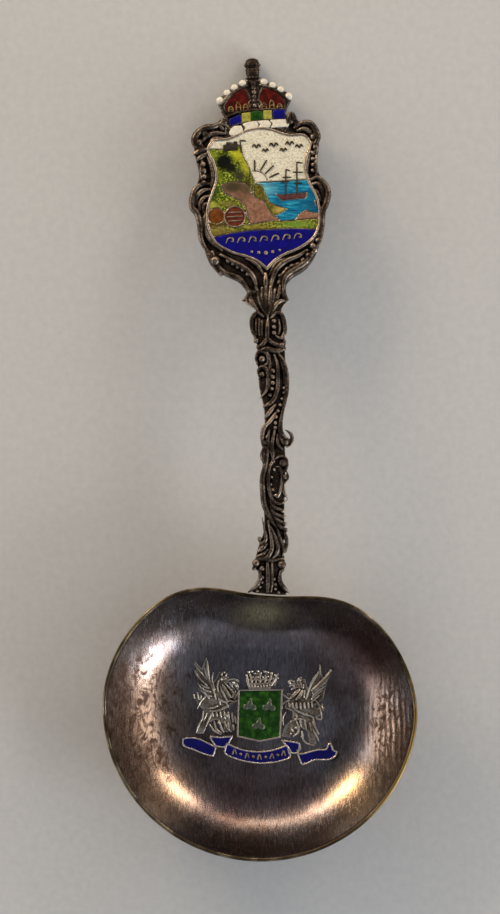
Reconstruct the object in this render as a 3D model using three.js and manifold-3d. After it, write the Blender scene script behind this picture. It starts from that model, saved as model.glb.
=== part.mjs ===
// Souvenir spoon: a wide kidney-shaped bowl with an applied enamelled badge, a cast scrolled stem, and a
// finial made of a scrolled cartouche, an enamelled landscape shield and an enamelled crown.
//
// Millimetres, +Z up. The spoon lies on its back: the origin is the middle of the bowl's flat base,
// +Y runs along the stem to the crown and +X is to the right of somebody looking down into the bowl.
import * as THREE from 'three';
import { mergeVertices } from 'three/addons/utils/BufferGeometryUtils.js';
import Module from 'manifold-3d';

const wasm = await Module();
wasm.setup();

// ---- driving dimensions ------------------------------------------------------------------------------

const fitGap = 0.06; // clearance between soldered or enamelled neighbours
const jointGap = 0.3; // clearance at the two soldered stem joints

const bowlTurn = THREE.MathUtils.degToRad(-5); // the bowl was soldered on slightly askew
const bowlHalfWidth = 22.85;
const bowlBackReach = 22.3; // widest line to the lip farthest from the stem
const bowlShoulderReach = 21.75; // widest line to the shoulders, before the dip is taken off
const bowlShoulderPower = 1.81; // superellipse power of the stem half of the lip
const shoulderLean = -0.029; // the left shoulder stands a little higher than the right
const dipDepth = 5.6; // how far the lip dips toward the bowl at the stem
const dipSpread = 10.9;
const dipSide = -0.6; // middle of the dip
const lipShift = 1.8; // the lip's middle lies this far toward the stem from the base's middle
const lipSideShift = -0.18;
const roundReach = 20.6; // half height of the plain ellipse that the base follows
const lipHeight = 8.3;
const bowlWall = 0.9;
const baseFraction = 0.52; // flat share of the radius
const bowlSides = 64;
const wireRadius = 0.36; // half-round wire along the lip

const stemFootY = 18.4;
const stemTopY = 65.4;
const stemFootZ = 9.2;
const stemRise = 2.2; // height of the stem's arch over the line between its ends
const stemTopZ = 8.0;
const stemThickness = 2.1;

const finialX = 0.285;
const finialY = 78.75; // middle of the shield
const finialZ = 4.92;
const finialPitch = THREE.MathUtils.degToRad(-12); // the finial slopes down to rest on the crown's tip
const finialTurn = THREE.MathUtils.degToRad(3.6); // and leans a little to the left

const shieldBorder = 0.25; // bright rim around the enamelled shield
const cellWall = 0.22; // metal left standing between two enamels
const plateBack = -1.0;
const trayBack = -0.2;
const recessFloor = 0.3;
const trayFace = 0.85;
const cartoucheFace = 1.0;
const cartoucheLean = -0.4; // the cartouche's middle, left of the shield's
const neckEnd = -14.6; // where the cartouche meets the stem

const crownLean = -0.27; // the crown's middle, left of the shield's
const crownBack = -0.9;
const crownFace = 0.8;
const pearlRadius = 0.62;
const pearlHeight = 0.45;

const badgeBack = bowlWall + jointGap;
const badgeFloor = 1.6;
const badgeFace = 2.1;
const badgeBorder = 0.3;

// ---- materials ---------------------------------------------------------------------------------------

function metal(color, roughness) {
  return new THREE.MeshStandardMaterial({ color, roughness, metalness: 0.9 });
}

function enamel(color) {
  return new THREE.MeshStandardMaterial({ color, roughness: 0.2, metalness: 0 });
}

const silver = '#8a7f79';
const darkSilver = '#5f5853';
const brassyRim = '#a8977a';
const cream = '#e4dfcb';
const white = '#ece8dc';
const yellow = '#b5ab4e';
const grass = '#7d8a1f';
const mauve = '#8d6b58';
const turquoise = '#1f8ab0';
const ultramarine = '#1b1b9a';
const crimson = '#7a1a14';
const emerald = '#1f6b1f';
const amber = '#a5661c';
const brick = '#8f4526';
const steelGrey = '#77706c';

// ---- solids ------------------------------------------------------------------------------------------

// A three.js geometry as a solid that can be cut and joined.
function solidOf(geometry) {
  const bare = geometry.clone();
  bare.deleteAttribute('normal');
  bare.deleteAttribute('uv');
  const merged = mergeVertices(bare, 1e-5);
  const place = merged.getAttribute('position');
  const corners = merged.getIndex().array;
  const triangles = [];
  let volume = 0;
  const [a, b, c] = [new THREE.Vector3(), new THREE.Vector3(), new THREE.Vector3()];
  for (let i = 0; i < corners.length; i += 3) {
    const [p, q, r] = corners.slice(i, i + 3);
    if (p === q || q === r || r === p) continue;
    triangles.push(p, q, r);
    a.fromBufferAttribute(place, p);
    b.fromBufferAttribute(place, q);
    c.fromBufferAttribute(place, r);
    volume += a.dot(b.cross(c)) / 6;
  }
  if (volume < 0) triangles.reverse();
  return new wasm.Manifold(
    new wasm.Mesh({
      numProp: 3,
      vertProperties: new Float32Array(place.array),
      triVerts: new Uint32Array(triangles),
    }),
  );
}

// The largest connected body of a solid, as a three.js geometry.
function geometryOf(solid) {
  const bodies = solid.decompose().sort((one, other) => other.volume() - one.volume());
  const mesh = bodies[0].getMesh();
  const geometry = new THREE.BufferGeometry();
  geometry.setAttribute('position', new THREE.BufferAttribute(mesh.vertProperties.slice(), 3));
  geometry.setIndex(new THREE.BufferAttribute(mesh.triVerts.slice(), 1));
  geometry.computeVertexNormals();
  return geometry;
}

// Adds a solid to a group as a named mesh.
function addNode(parent, name, solid, material) {
  const mesh = new THREE.Mesh(geometryOf(solid), material);
  mesh.name = name;
  parent.add(mesh);
}

// A flat-sided solid with the given outline between two heights.
function prism(outline, bottom, top) {
  const shape = new THREE.Shape(outline.map(([x, y]) => new THREE.Vector2(x, y)));
  const geometry = new THREE.ExtrudeGeometry(shape, { depth: top - bottom, bevelEnabled: false });
  return solidOf(geometry.translate(0, 0, bottom));
}

// The outline moved outwards all round, or inwards where the distance is negative.
function offset(outline, distance) {
  const side = THREE.ShapeUtils.isClockWise(outline.map(([x, y]) => new THREE.Vector2(x, y))) ? -1 : 1;
  return outline.map((point, i) => {
    const before = outline.at(i - 1);
    const after = outline[(i + 1) % outline.length];
    const into = new THREE.Vector2(point[0] - before[0], point[1] - before[1]).normalize();
    const out = new THREE.Vector2(after[0] - point[0], after[1] - point[1]).normalize();
    const normal = new THREE.Vector2(into.y + out.y, -into.x - out.x).multiplyScalar(side);
    const reach = distance / Math.max(0.35, 1 + into.dot(out));
    return [point[0] + normal.x * reach, point[1] + normal.y * reach];
  });
}

// A smooth line through the points, with a number of steps to each span.
function smooth(points, steps) {
  const stations = points.map(([x, y]) => new THREE.Vector3(x, y, 0));
  const curve = new THREE.CatmullRomCurve3(stations, false, 'centripetal');
  return curve.getPoints(steps * (points.length - 1)).map((p) => [p.x, p.y]);
}

// A closed outline from its right half, which runs from the top to the bottom, mirrored about x = middle.
function mirrored(half, middle) {
  const right = half.map(([x, y]) => [middle + x, y]);
  const left = half.filter(([x]) => x > 1e-6).map(([x, y]) => [middle - x, y]);
  return [...right, ...left.reverse()];
}

function circle(x, y, radius, sides) {
  return Array.from({ length: sides }, (_, i) => {
    const turn = (2 * Math.PI * i) / sides;
    return [x + radius * Math.cos(turn), y + radius * Math.sin(turn)];
  });
}

// ---- champleve enamel --------------------------------------------------------------------------------

// One cell's solid: its outline within the border, less the cells that stand in front of it. Grow is the
// clearance given to the recess that the enamel lies in.
function cellSolid(cell, inFront, border, grow, bottom, top) {
  let solid = prism(offset(cell.outline, grow), bottom, top);
  if (border) {
    solid = solid.intersect(prism(offset(border, grow), bottom - 1, top + 1));
  }
  for (const nearer of inFront) {
    solid = solid.subtract(prism(offset(nearer.outline, cellWall - grow), bottom - 1, top + 1));
  }
  return solid;
}

// Cuts a recess for each cell, given from the farthest to the nearest, adds each enamel as a node of its
// own and returns the plate with its recesses.
function champleve(parent, plate, cells, { border, floor, face }) {
  let cut = plate;
  cells.forEach((cell, i) => {
    const inFront = cells.slice(i + 1);
    const recess = cellSolid(cell, inFront, border, fitGap, floor, face + 1);
    cut = cut.subtract(recess.decompose().sort((one, other) => other.volume() - one.volume())[0]);
    addNode(parent, cell.name, cellSolid(cell, inFront, border, 0, floor + fitGap, face), enamel(cell.color));
  });
  return cut;
}

// ---- bowl --------------------------------------------------------------------------------------------

// The lip's outline at a turn about its middle.
function lipPoint(turn) {
  const across = Math.cos(turn);
  const along = Math.sin(turn);
  if (along <= 0) return [bowlHalfWidth * across, bowlBackReach * along];
  const power = 2 / bowlShoulderPower;
  const x = bowlHalfWidth * Math.sign(across) * Math.abs(across) ** power;
  const dip = Math.exp(-(((x - dipSide) / dipSpread) ** 2)) - Math.exp(-((bowlHalfWidth / dipSpread) ** 2));
  return [x, (bowlShoulderReach + shoulderLean * x) * along ** power - dipDepth * dip];
}

// A point of the bowl at a share of its radius: a plain ellipse at the base, growing into the lip's shape.
function bowlPoint(share, turn) {
  const [lipX, lipY] = lipPoint(turn);
  const blend = THREE.MathUtils.smoothstep(share, 0, 1);
  const x = THREE.MathUtils.lerp(bowlHalfWidth * Math.cos(turn), lipX, blend);
  const y = THREE.MathUtils.lerp(roundReach * Math.sin(turn), lipY, blend);
  return [share * (x + lipSideShift), share * (y + lipShift)];
}

// The inside's height at a share of the radius.
function insideHeight(share) {
  const climb = Math.max(0, (share - baseFraction) / (1 - baseFraction));
  return bowlWall + (lipHeight - bowlWall) * climb ** 2;
}

// A lathe's profile of [share of the radius, height], carried around the lip's outline.
function bowlLathe(profile) {
  const points = profile.map(([share, height]) => new THREE.Vector2(share, height));
  const geometry = new THREE.LatheGeometry(points, bowlSides);
  const place = geometry.getAttribute('position');
  for (let i = 0; i < place.count; i += 1) {
    const share = Math.hypot(place.getX(i), place.getZ(i));
    const turn = Math.atan2(place.getZ(i), place.getX(i));
    const [x, y] = bowlPoint(share, turn);
    place.setXYZ(i, x, y, place.getY(i));
  }
  return solidOf(geometry);
}

function bowlProfile() {
  const steps = 11;
  const inside = [[0, bowlWall], [baseFraction, bowlWall]];
  for (let i = 1; i <= steps; i += 1) {
    const share = THREE.MathUtils.lerp(baseFraction, 1, i / steps);
    inside.push([share, insideHeight(share)]);
  }
  const outside = inside.map(([share, height]) => {
    const climb = Math.max(0, (share - baseFraction) / (1 - baseFraction));
    const rise = (2 * (lipHeight - bowlWall) * climb) / ((1 - baseFraction) * bowlHalfWidth);
    const long = Math.hypot(1, rise);
    return [share + (bowlWall * rise) / (long * bowlHalfWidth), height - bowlWall / long];
  });
  outside[outside.length - 1][1] = lipHeight - 0.5;
  const lipEdge = [outside.at(-1)[0], lipHeight];
  return [...outside, lipEdge, ...inside.reverse()];
}

const lipMiddle = 1 + (0.5 * bowlWall) / bowlHalfWidth; // middle of the lip, as a share of the radius

function wireProfile() {
  const sides = 8;
  return Array.from({ length: sides + 1 }, (_, i) => {
    const turn = (2 * Math.PI * i) / sides;
    const share = lipMiddle + (wireRadius * Math.cos(turn)) / bowlHalfWidth;
    return [share, lipHeight + fitGap + wireRadius * (1 + Math.sin(turn))];
  });
}

const bowlGroup = new THREE.Group();
bowlGroup.rotation.z = bowlTurn;
addNode(bowlGroup, 'bowl', bowlLathe(bowlProfile()), metal(silver, 0.35));
addNode(bowlGroup, 'bowl_edge_wire', bowlLathe(wireProfile()), metal(brassyRim, 0.3));

// ---- badge on the bowl's floor -----------------------------------------------------------------------

const badgeShieldOutline = [[-3.4, 3.9], [2.7, 4.5], [3.0, -2.3], [0.2, -3.1], [-3.0, -2.7]];
const coronetOutline = [
  [-1.9, 4.85], [1.8, 5.2], [2.2, 7.2], [1.3, 6.5], [0.6, 7.4], [-0.1, 6.4], [-0.9, 7.2], [-1.5, 6.2],
  [-2.6, 6.8],
];

// A generic winged beast that rears toward the shield, as it stands on the left of it.
const beastOutline = [
  [-8.9, 8.6], [-8.2, 6.2], [-7.7, 4.6], [-7.2, 5.5], [-6.8, 6.6], [-6.0, 6.5], [-5.0, 5.6], [-5.5, 4.9],
  [-5.3, 4.2], [-4.2, 4.3], [-4.4, 3.3], [-4.1, 2.0], [-5.3, 1.6], [-5.5, 0.4], [-4.4, -0.6], [-4.0, -2.3],
  [-5.3, -2.4], [-5.4, -1.2], [-6.6, -0.6], [-7.8, -1.2], [-8.3, -2.9], [-9.3, -3.0], [-8.9, -1.2],
  [-8.6, 0.6], [-9.6, 1.4], [-10.2, 2.8], [-9.6, 3.0], [-9.0, 2.2], [-8.5, 2.7], [-9.8, 3.8], [-10.0, 5.8],
  [-10.7, 8.0], [-9.5, 6.8],
];
const rightBeastShift = -0.6;

const ribbonCells = [
  {
    name: 'ribbon_enamel_tail_left',
    color: ultramarine,
    outline: [
      [-11.2, -4.4], [-10.8, -3.7], [-9.1, -3.7], [-7.6, -4.3], [-6.7, -4.4], [-6.9, -5.9], [-7.7, -6.1],
      [-8.9, -5.6], [-10.4, -5.0],
    ],
  },
  {
    name: 'ribbon_enamel_fold_left',
    color: ultramarine,
    outline: [[-6.6, -3.2], [-4.4, -2.9], [-4.7, -4.0], [-6.3, -4.2]],
  },
  {
    name: 'ribbon_enamel_middle',
    color: ultramarine,
    outline: [
      [-5.2, -4.3], [-2.6, -4.9], [0.4, -4.9], [3.3, -4.5], [4.7, -4.0], [5.1, -5.3], [2.8, -6.1],
      [0.5, -6.5], [-2.5, -6.4], [-5.5, -5.8],
    ],
  },
  {
    name: 'ribbon_enamel_fold_right',
    color: ultramarine,
    outline: [[3.9, -2.9], [6.2, -3.0], [6.0, -4.1], [4.9, -3.8]],
  },
  {
    name: 'ribbon_enamel_tail_right',
    color: ultramarine,
    outline: [
      [6.2, -4.8], [7.8, -4.1], [9.6, -3.8], [10.3, -3.3], [11.0, -2.6], [11.6, -3.5], [11.8, -4.4],
      [10.9, -5.0], [9.1, -5.2], [7.0, -6.1], [6.5, -5.8],
    ],
  },
];

function buildBadge() {
  const shieldMetal = prism(offset(badgeShieldOutline, badgeBorder), badgeBack, badgeFace);
  const shieldCell = [{ name: 'badge_enamel_green', color: emerald, outline: badgeShieldOutline }];
  const levels = { floor: badgeFloor, face: badgeFace - fitGap };
  const shieldPlate = champleve(bowlGroup, shieldMetal, shieldCell, levels);
  addNode(bowlGroup, 'badge_shield', shieldPlate, metal(silver, 0.35));
  addNode(bowlGroup, 'badge_coronet', prism(coronetOutline, badgeBack, badgeFace), metal(silver, 0.35));

  const ribbonMetal = ribbonCells
    .map((cell) => prism(offset(cell.outline, badgeBorder), badgeBack, badgeFace))
    .reduce((joined, next) => joined.add(next));
  const ribbonPlate = champleve(bowlGroup, ribbonMetal, ribbonCells, levels);
  addNode(bowlGroup, 'ribbon', ribbonPlate, metal(silver, 0.35));

  const clearance = ribbonCells
    .map((cell) => prism(offset(cell.outline, badgeBorder + fitGap), 0, badgeFace + 1))
    .reduce((joined, next) => joined.add(next));
  const left = prism(beastOutline, badgeBack, badgeFace);
  const right = prism(beastOutline.map(([x, y]) => [rightBeastShift - x, y]), badgeBack, badgeFace);
  addNode(bowlGroup, 'griffin_left', left.subtract(clearance), metal(silver, 0.35));
  addNode(bowlGroup, 'griffin_right', right.subtract(clearance), metal(silver, 0.35));
}

// ---- stem --------------------------------------------------------------------------------------------

// The stem's two edges, as [x, y] from the bowl to the finial: a flared foot, a pair of knobs, the shell
// curl on the right half way up, the S-scroll and the thorned neck.
const stemLeftEdge = smooth([
  [-2.0, 18.4], [-0.4, 21.7], [-1.2, 23.1], [-0.6, 26.0], [0.4, 28.5], [0.1, 35.0], [0.2, 40.5], [0.5, 45.7],
  [-0.5, 50.2], [-0.8, 56.2], [-1.5, 60.0], [-1.0, 61.5], [-2.8, 62.8], [-1.9, 64.4], [-2.1, 65.4],
], 3);
const stemRightEdge = smooth([
  [4.6, 18.4], [3.1, 21.7], [4.0, 23.1], [3.8, 26.0], [3.9, 28.5], [4.0, 35.0], [4.1, 40.5], [3.3, 45.7],
  [4.1, 50.2], [4.0, 56.2], [3.5, 60.0], [3.5, 61.5], [4.4, 62.8], [3.4, 64.4], [3.7, 65.4],
], 3);

// The height of the stem's middle at a share of its length.
function stemHeight(share) {
  return THREE.MathUtils.lerp(stemFootZ, stemTopZ, share) + stemRise * 4 * share * (1 - share);
}

function stemSolid() {
  const rows = stemLeftEdge.length - 1;
  const geometry = new THREE.BoxGeometry(1, 1, 1, 4, rows, 2);
  const place = geometry.getAttribute('position');
  for (let i = 0; i < place.count; i += 1) {
    const row = Math.round((place.getY(i) + 0.5) * rows);
    const [leftX, y] = stemLeftEdge[row];
    const rightX = stemRightEdge[row][0];
    const across = place.getX(i);
    const x = THREE.MathUtils.lerp(leftX, rightX, across + 0.5);
    const thickness = stemThickness * (1 - 1.6 * across ** 2);
    const share = (y - stemFootY) / (stemTopY - stemFootY);
    place.setXYZ(i, x, y, stemHeight(share) + place.getZ(i) * thickness);
  }
  return solidOf(geometry);
}

// ---- finial ------------------------------------------------------------------------------------------

const finialGroup = new THREE.Group();
finialGroup.position.set(finialX, finialY, finialZ);
finialGroup.rotation.set(finialPitch, 0, finialTurn, 'ZXY');
finialGroup.updateMatrix();

// Everything beyond the neck, which the stem stops short of.
function beyondNeck() {
  const reach = 60;
  const box = new THREE.BoxGeometry(reach, reach, reach);
  box.translate(0, neckEnd - jointGap + reach / 2, 0);
  return solidOf(box.applyMatrix4(finialGroup.matrix));
}

// Everything over the bowl and its wire, which the stem's foot stops short of.
function overBowl() {
  const outline = Array.from({ length: bowlSides }, (_, i) => {
    const share = lipMiddle + (wireRadius + jointGap) / bowlHalfWidth;
    return bowlPoint(share, (2 * Math.PI * i) / bowlSides);
  });
  const geometry = new THREE.ExtrudeGeometry(
    new THREE.Shape(outline.map(([x, y]) => new THREE.Vector2(x, y))),
    { depth: 30, bevelEnabled: false },
  );
  return solidOf(geometry.rotateZ(bowlTurn));
}

const shieldOutline = mirrored(smooth([
  [0, 10.2], [1.8, 9.9], [3.2, 9.3], [4.8, 8.8], [6.8, 8.7], [7.7, 7.3], [6.9, 5.2], [6.65, 3.0], [7.3, 1.0],
  [8.2, -1.2], [8.4, -4.2], [7.4, -6.9], [5.0, -8.6], [3.0, -9.3], [1.3, -10.2], [0, -11.4],
], 2), 0);

const cartoucheOutline = mirrored(smooth([
  [0, 12.0], [5.0, 12.2], [6.0, 11.2], [7.4, 10.8], [8.8, 9.6], [9.4, 7.4], [9.0, 5.2], [8.9, 3.4], [9.8, 1.2],
  [10.4, -0.6], [9.6, -3.0], [9.2, -6.0], [8.3, -8.6], [7.2, -10.6], [5.8, -12.0], [4.2, -12.8], [3.2, -13.8],
  [2.9, neckEnd],
], 2), cartoucheLean);

const crownOutline = mirrored([
  [0, 17.7], [1.7, 17.5], [3.0, 16.9], [4.3, 16.0], [5.4, 15.2], [5.5, 14.5], [4.9, 13.4], [4.6, 12.4],
  [4.6, 10.0], [4.2, 9.0],
], crownLean);

const sunOutline = circle(-0.95, 1.75, 1.8, 24);
const roundelLeftOutline = circle(-7.1, -2.9, 1.15, 20);
const roundelRightOutline = circle(-4.3, -3.2, 1.5, 24);

// The landscape, from the farthest enamel to the nearest.
const shieldCells = [
  { name: 'enamel_sky', color: cream, outline: [[-9, 12], [9, 12], [9, 1.75], [-9, 1.75]] },
  { name: 'enamel_sun', color: white, outline: sunOutline },
  { name: 'enamel_water', color: turquoise, outline: [[-2, 1.75], [9, 1.75], [9, -5.2], [-2, -5.2]] },
  {
    name: 'enamel_cliff',
    color: grass,
    outline: [
      [-9, 7.5], [-5.4, 7.2], [-5.1, 7.8], [-4.2, 8.1], [-2.9, 7.6], [-2.6, 6.0], [-1.9, 4.6], [-1.5, 3.2],
      [-1.0, 1.9], [-1.3, -0.4], [-0.8, -5.6], [-9, -5.6],
    ],
  },
  {
    name: 'enamel_headland',
    color: grass,
    outline: [
      [-1.2, 1.6], [0.0, 1.3], [0.3, 0.2], [0.9, -1.3], [2.0, -2.0], [3.4, -2.5], [1.8, -3.3], [0.2, -2.6],
      [-1.2, -0.4],
    ],
  },
  {
    name: 'enamel_path',
    color: mauve,
    outline: [
      [-5.9, 1.8], [-4.1, 2.1], [-2.8, 1.9], [-1.9, 1.2], [-1.7, 0.0], [-0.7, -0.7], [0.2, -1.3], [0.6, -2.4],
      [1.1, -3.2], [2.2, -4.0], [2.2, -4.8], [-2.0, -4.8], [-2.5, -1.8], [-3.4, -0.7], [-4.5, 0.0], [-5.7, 0.7],
    ],
  },
  {
    name: 'enamel_islet',
    color: mauve,
    outline: [[4.6, -4.6], [5.4, -3.5], [6.4, -3.0], [7.1, -3.3], [9, -3.9], [9, -4.6]],
  },
  {
    name: 'enamel_shore',
    color: grass,
    outline: [[-9, -4.9], [-2, -4.6], [1.2, -4.3], [3.2, -4.4], [9, -4.3], [9, -7], [-9, -7]],
  },
  { name: 'enamel_roundel_left', color: amber, outline: roundelLeftOutline },
  { name: 'enamel_roundel_right', color: brick, outline: roundelRightOutline },
  {
    name: 'enamel_base',
    color: ultramarine,
    outline: [
      [-9, -6.6], [-7.9, -6.2], [-5.2, -5.8], [-2.2, -5.5], [3.8, -5.6], [9, -6.1], [9, -12], [-9, -12],
    ],
  },
  {
    name: 'enamel_ship_hull',
    color: steelGrey,
    outline: [[2.1, -0.1], [2.9, -0.4], [6.6, -0.3], [6.4, -0.9], [2.9, -1.0]],
  },
];

function buildShield() {
  const plate = prism(offset(shieldOutline, shieldBorder), trayBack + fitGap, trayFace);
  const levels = { border: shieldOutline, floor: recessFloor, face: trayFace - fitGap };
  const tray = champleve(finialGroup, plate, shieldCells, levels);
  addNode(finialGroup, 'shield_tray', tray, metal(silver, 0.3));
}

function buildCartouche() {
  const pocket = prism(offset(shieldOutline, shieldBorder + fitGap), trayBack, cartoucheFace + 1);
  const underTray = prism(offset(shieldOutline, shieldBorder), plateBack - 2, cartoucheFace + 2);
  const crownSeat = prism(offset(crownOutline, fitGap), plateBack - 1, cartoucheFace + 1).subtract(underTray);
  const plate = prism(cartoucheOutline, plateBack, cartoucheFace);
  const frame = plate.subtract(pocket).subtract(crownSeat);
  addNode(finialGroup, 'cartouche', frame, metal(darkSilver, 0.45));
}

// A cell of one of the crown's rows: each row sags by a little toward its two ends.
function rowCell(name, color, left, right, bottom, top, sag) {
  const drop = (x) => sag * (x / 4) ** 2;
  const middle = (left + right) / 2;
  const lower = [left, middle, right].map((x) => [crownLean + x, bottom - drop(x)]);
  const upper = [right, middle, left].map((x) => [crownLean + x, top - drop(x)]);
  return { name, color, outline: [...lower, ...upper] };
}

const capOutline = smooth([
  [0.7, 13.2], [0.65, 14.2], [0.85, 15.4], [1.4, 16.35], [2.2, 16.25], [3.2, 15.6], [4.1, 14.7], [4.5, 13.9],
  [4.3, 13.15],
], 2);
const ermineEdges = [-4.15, -2.2, 0, 2.2, 4.15];
const crownCells = [
  {
    name: 'enamel_cap_left',
    color: crimson,
    outline: capOutline.map(([x, y]) => [crownLean - x, y]),
  },
  {
    name: 'enamel_cap_right',
    color: crimson,
    outline: capOutline.map(([x, y]) => [crownLean + x, y]),
  },
  rowCell('enamel_band_blue_left', ultramarine, -4.1, -2.5, 11.9, 12.85, 0.2),
  rowCell('enamel_band_yellow_left', yellow, -2.2, -1.1, 11.9, 12.85, 0.2),
  rowCell('enamel_band_green', emerald, -0.8, 0.8, 11.9, 12.85, 0.2),
  rowCell('enamel_band_yellow_right', yellow, 1.1, 2.2, 11.9, 12.85, 0.2),
  rowCell('enamel_band_blue_right', ultramarine, 2.5, 4.1, 11.9, 12.85, 0.2),
  ...[1, 2, 3, 4].map((n) => {
    const [left, right] = ermineEdges.slice(n - 1, n + 1);
    return rowCell(`enamel_ermine_${n}`, white, left + cellWall / 2, right - cellWall / 2, 10.7, 11.6, 0.75);
  }),
];

// The pearls' places along each arch, from the lowest to the topmost.
const pearlPlaces = [[5.15, 14.9], [4.0, 15.95], [2.85, 16.7], [1.6, 17.3]];

function pearl(x, y, radius) {
  const sphere = new THREE.SphereGeometry(radius, 10, 8);
  return solidOf(sphere.translate(crownLean + x, y, pearlHeight));
}

function buildCrown() {
  const shieldSeat = prism(offset(shieldOutline, shieldBorder + fitGap), crownBack - 1, crownFace + 1);
  let frame = prism(crownOutline, crownBack, crownFace).subtract(shieldSeat);
  for (const [side, word] of [[-1, 'left'], [1, 'right']]) {
    pearlPlaces.forEach(([x, y], i) => {
      frame = frame.subtract(pearl(side * x, y, pearlRadius + fitGap));
      addNode(finialGroup, `pearl_${word}_${i + 1}`, pearl(side * x, y, pearlRadius), enamel(white));
    });
  }
  frame = champleve(finialGroup, frame, crownCells, { floor: recessFloor, face: crownFace - fitGap });
  addNode(finialGroup, 'crown_frame', frame, metal(silver, 0.35));
}

// The stacked orb on top of the crown, a little flattened from front to back.
function buildKnop() {
  const flatness = 0.85;
  const profile = [
    [0, 17.78], [0.8, 17.78], [1.0, 18.15], [0.8, 18.6], [0.55, 18.75], [0.95, 19.1], [1.0, 19.6],
    [0.75, 20.05], [0.4, 20.25], [0.5, 20.5], [0.35, 20.8], [0, 20.95],
  ];
  const geometry = new THREE.LatheGeometry(profile.map(([x, y]) => new THREE.Vector2(x, y)), 16);
  geometry.scale(1, 1, flatness).translate(crownLean, 0, 0);
  addNode(finialGroup, 'crown_knop', solidOf(geometry), metal(darkSilver, 0.45));
}

// ---- assembly ----------------------------------------------------------------------------------------

buildBadge();
buildCartouche();
buildShield();
buildCrown();
buildKnop();

const group = new THREE.Group();
group.name = 'souvenir_spoon';
group.add(bowlGroup, finialGroup);
addNode(group, 'stem', stemSolid().subtract(overBowl()).subtract(beyondNeck()), metal(darkSilver, 0.45));

export default group;
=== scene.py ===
import math

import bmesh
import bpy
import numpy as np
from mathutils import Matrix, Vector, noise


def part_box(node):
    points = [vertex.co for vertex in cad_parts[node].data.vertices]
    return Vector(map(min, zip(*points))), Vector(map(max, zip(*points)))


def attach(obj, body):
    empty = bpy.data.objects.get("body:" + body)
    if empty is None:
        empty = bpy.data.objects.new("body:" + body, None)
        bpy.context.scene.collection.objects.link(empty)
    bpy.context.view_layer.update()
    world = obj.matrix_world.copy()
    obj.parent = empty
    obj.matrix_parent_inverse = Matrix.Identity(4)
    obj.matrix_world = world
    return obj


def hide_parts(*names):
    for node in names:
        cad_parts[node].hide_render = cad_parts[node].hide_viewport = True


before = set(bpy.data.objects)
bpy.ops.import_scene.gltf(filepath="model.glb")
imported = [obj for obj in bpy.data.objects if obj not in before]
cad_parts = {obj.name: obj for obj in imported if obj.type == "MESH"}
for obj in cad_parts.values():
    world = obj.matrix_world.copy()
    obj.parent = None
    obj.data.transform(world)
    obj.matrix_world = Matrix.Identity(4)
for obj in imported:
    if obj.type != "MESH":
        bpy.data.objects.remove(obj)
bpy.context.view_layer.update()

# A silver souvenir spoon lying on its back: a kidney-shaped bowl with an enamelled badge, a cast scrolled
# stem, and a cartouche that holds an enamelled landscape under an enamelled crown. Lengths are written in
# millimetres and become Blender's metres through MM.
MM = 0.001

# ---- sizes, as the part has them ---------------------------------------------------------------------

BOWL_TURN = math.radians(-5)      # the bowl was soldered on slightly askew
BOWL_HALF_WIDTH = 22.85
BOWL_BACK_REACH = 22.3            # widest line to the lip farthest from the stem
BOWL_SHOULDER_REACH = 21.75       # widest line to the shoulders, before the dip is taken off
BOWL_SHOULDER_POWER = 1.81
SHOULDER_LEAN = -0.029            # the left shoulder stands a little higher than the right
DIP_DEPTH = 5.6                   # the lip's dip at the stem
DIP_SPREAD = 10.9
DIP_SIDE = -0.6                   # middle of the dip
LIP_SHIFT = 1.8                   # the lip's middle lies this far toward the stem from the base's middle
LIP_SIDE_SHIFT = -0.18
ROUND_REACH = 20.6                # half height of the ellipse that the base follows
LIP_HEIGHT = 8.3
BOWL_WALL = 0.9
BASE_SHARE = 0.52                 # flat share of the radius
WIRE_RADIUS = 0.29                # wire along the lip
WIRE_RISE = 0.24                  # its middle over the lip
BOWL_SIDES = 256                  # points around the bowl

STEM_MIDDLE = 1.45                # x of the stem's middle line
STEM_FOOT, STEM_TOP = 18.4, 65.4  # y of the stem's two ends
LIP_AT_STEM = 18.75               # y of the lip at the stem, where the stem's own distances start
STEM_FOOT_HEIGHT, STEM_TOP_HEIGHT, STEM_RISE = 9.2, 8.0, 2.2

CROWN_LEAN = -0.27                # the crown's middle, left of the shield's
PEARL_PLACES = [(5.15, 14.9), (4.0, 15.95), (2.85, 16.7), (1.6, 17.3)]
PEARL_RADIUS = 0.62
PEARL_HEIGHT = 0.45
ENAMEL_FACE = 0.79                # top of the finial's enamels over its middle plane
BADGE_FACE = 2.1                  # top of the badge over the surface that the spoon lies on
BADGE_GLASS = BADGE_FACE - 0.06   # top of the badge's enamels

# Levels that strands, beads and wires are laid at: over the stem's middle line, over the finial's middle
# plane, and for the badge over the surface that the spoon lies on.
STEM_RELIEF, STEM_BACK_RELIEF = 0.55, -0.66
CARTOUCHE_GROUND, CARTOUCHE_RELIEF = 0.45, 0.6
TRAY_RIM_LEVEL = 0.78
CROWN_RELIEF, ARCH_BEAD_LEVEL = 0.78, 0.75
WIRE_LEVEL, GILT_LEVEL, PELLET_LEVEL = 0.83, 0.82, 0.8
BEAST_GROUND, BEAST_RELIEF, BEAST_BEAD_LEVEL = 1.3, 1.48, 1.5
CORONET_GROUND, CORONET_RELIEF, CORONET_BEAD_LEVEL = 1.5, 1.65, 1.7
TREFOIL_LEVEL, RIBBON_EDGE_LEVEL, RIBBON_MARK_LEVEL, RIBBON_PELLET_LEVEL = 2.0, 1.95, 2.06, 2.0

# Voxel sizes of the castings and of the enamels: as fine as their detail needs.
STEM_GRAIN, CARTOUCHE_GRAIN, TRAY_GRAIN, CROWN_GRAIN = 0.1, 0.125, 0.107, 0.08
KNOP_GRAIN, BADGE_GRAIN, TREFOIL_GRAIN, RIBBON_GRAIN, ENAMEL_GRAIN = 0.06, 0.06, 0.05, 0.07, 0.085

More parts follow.
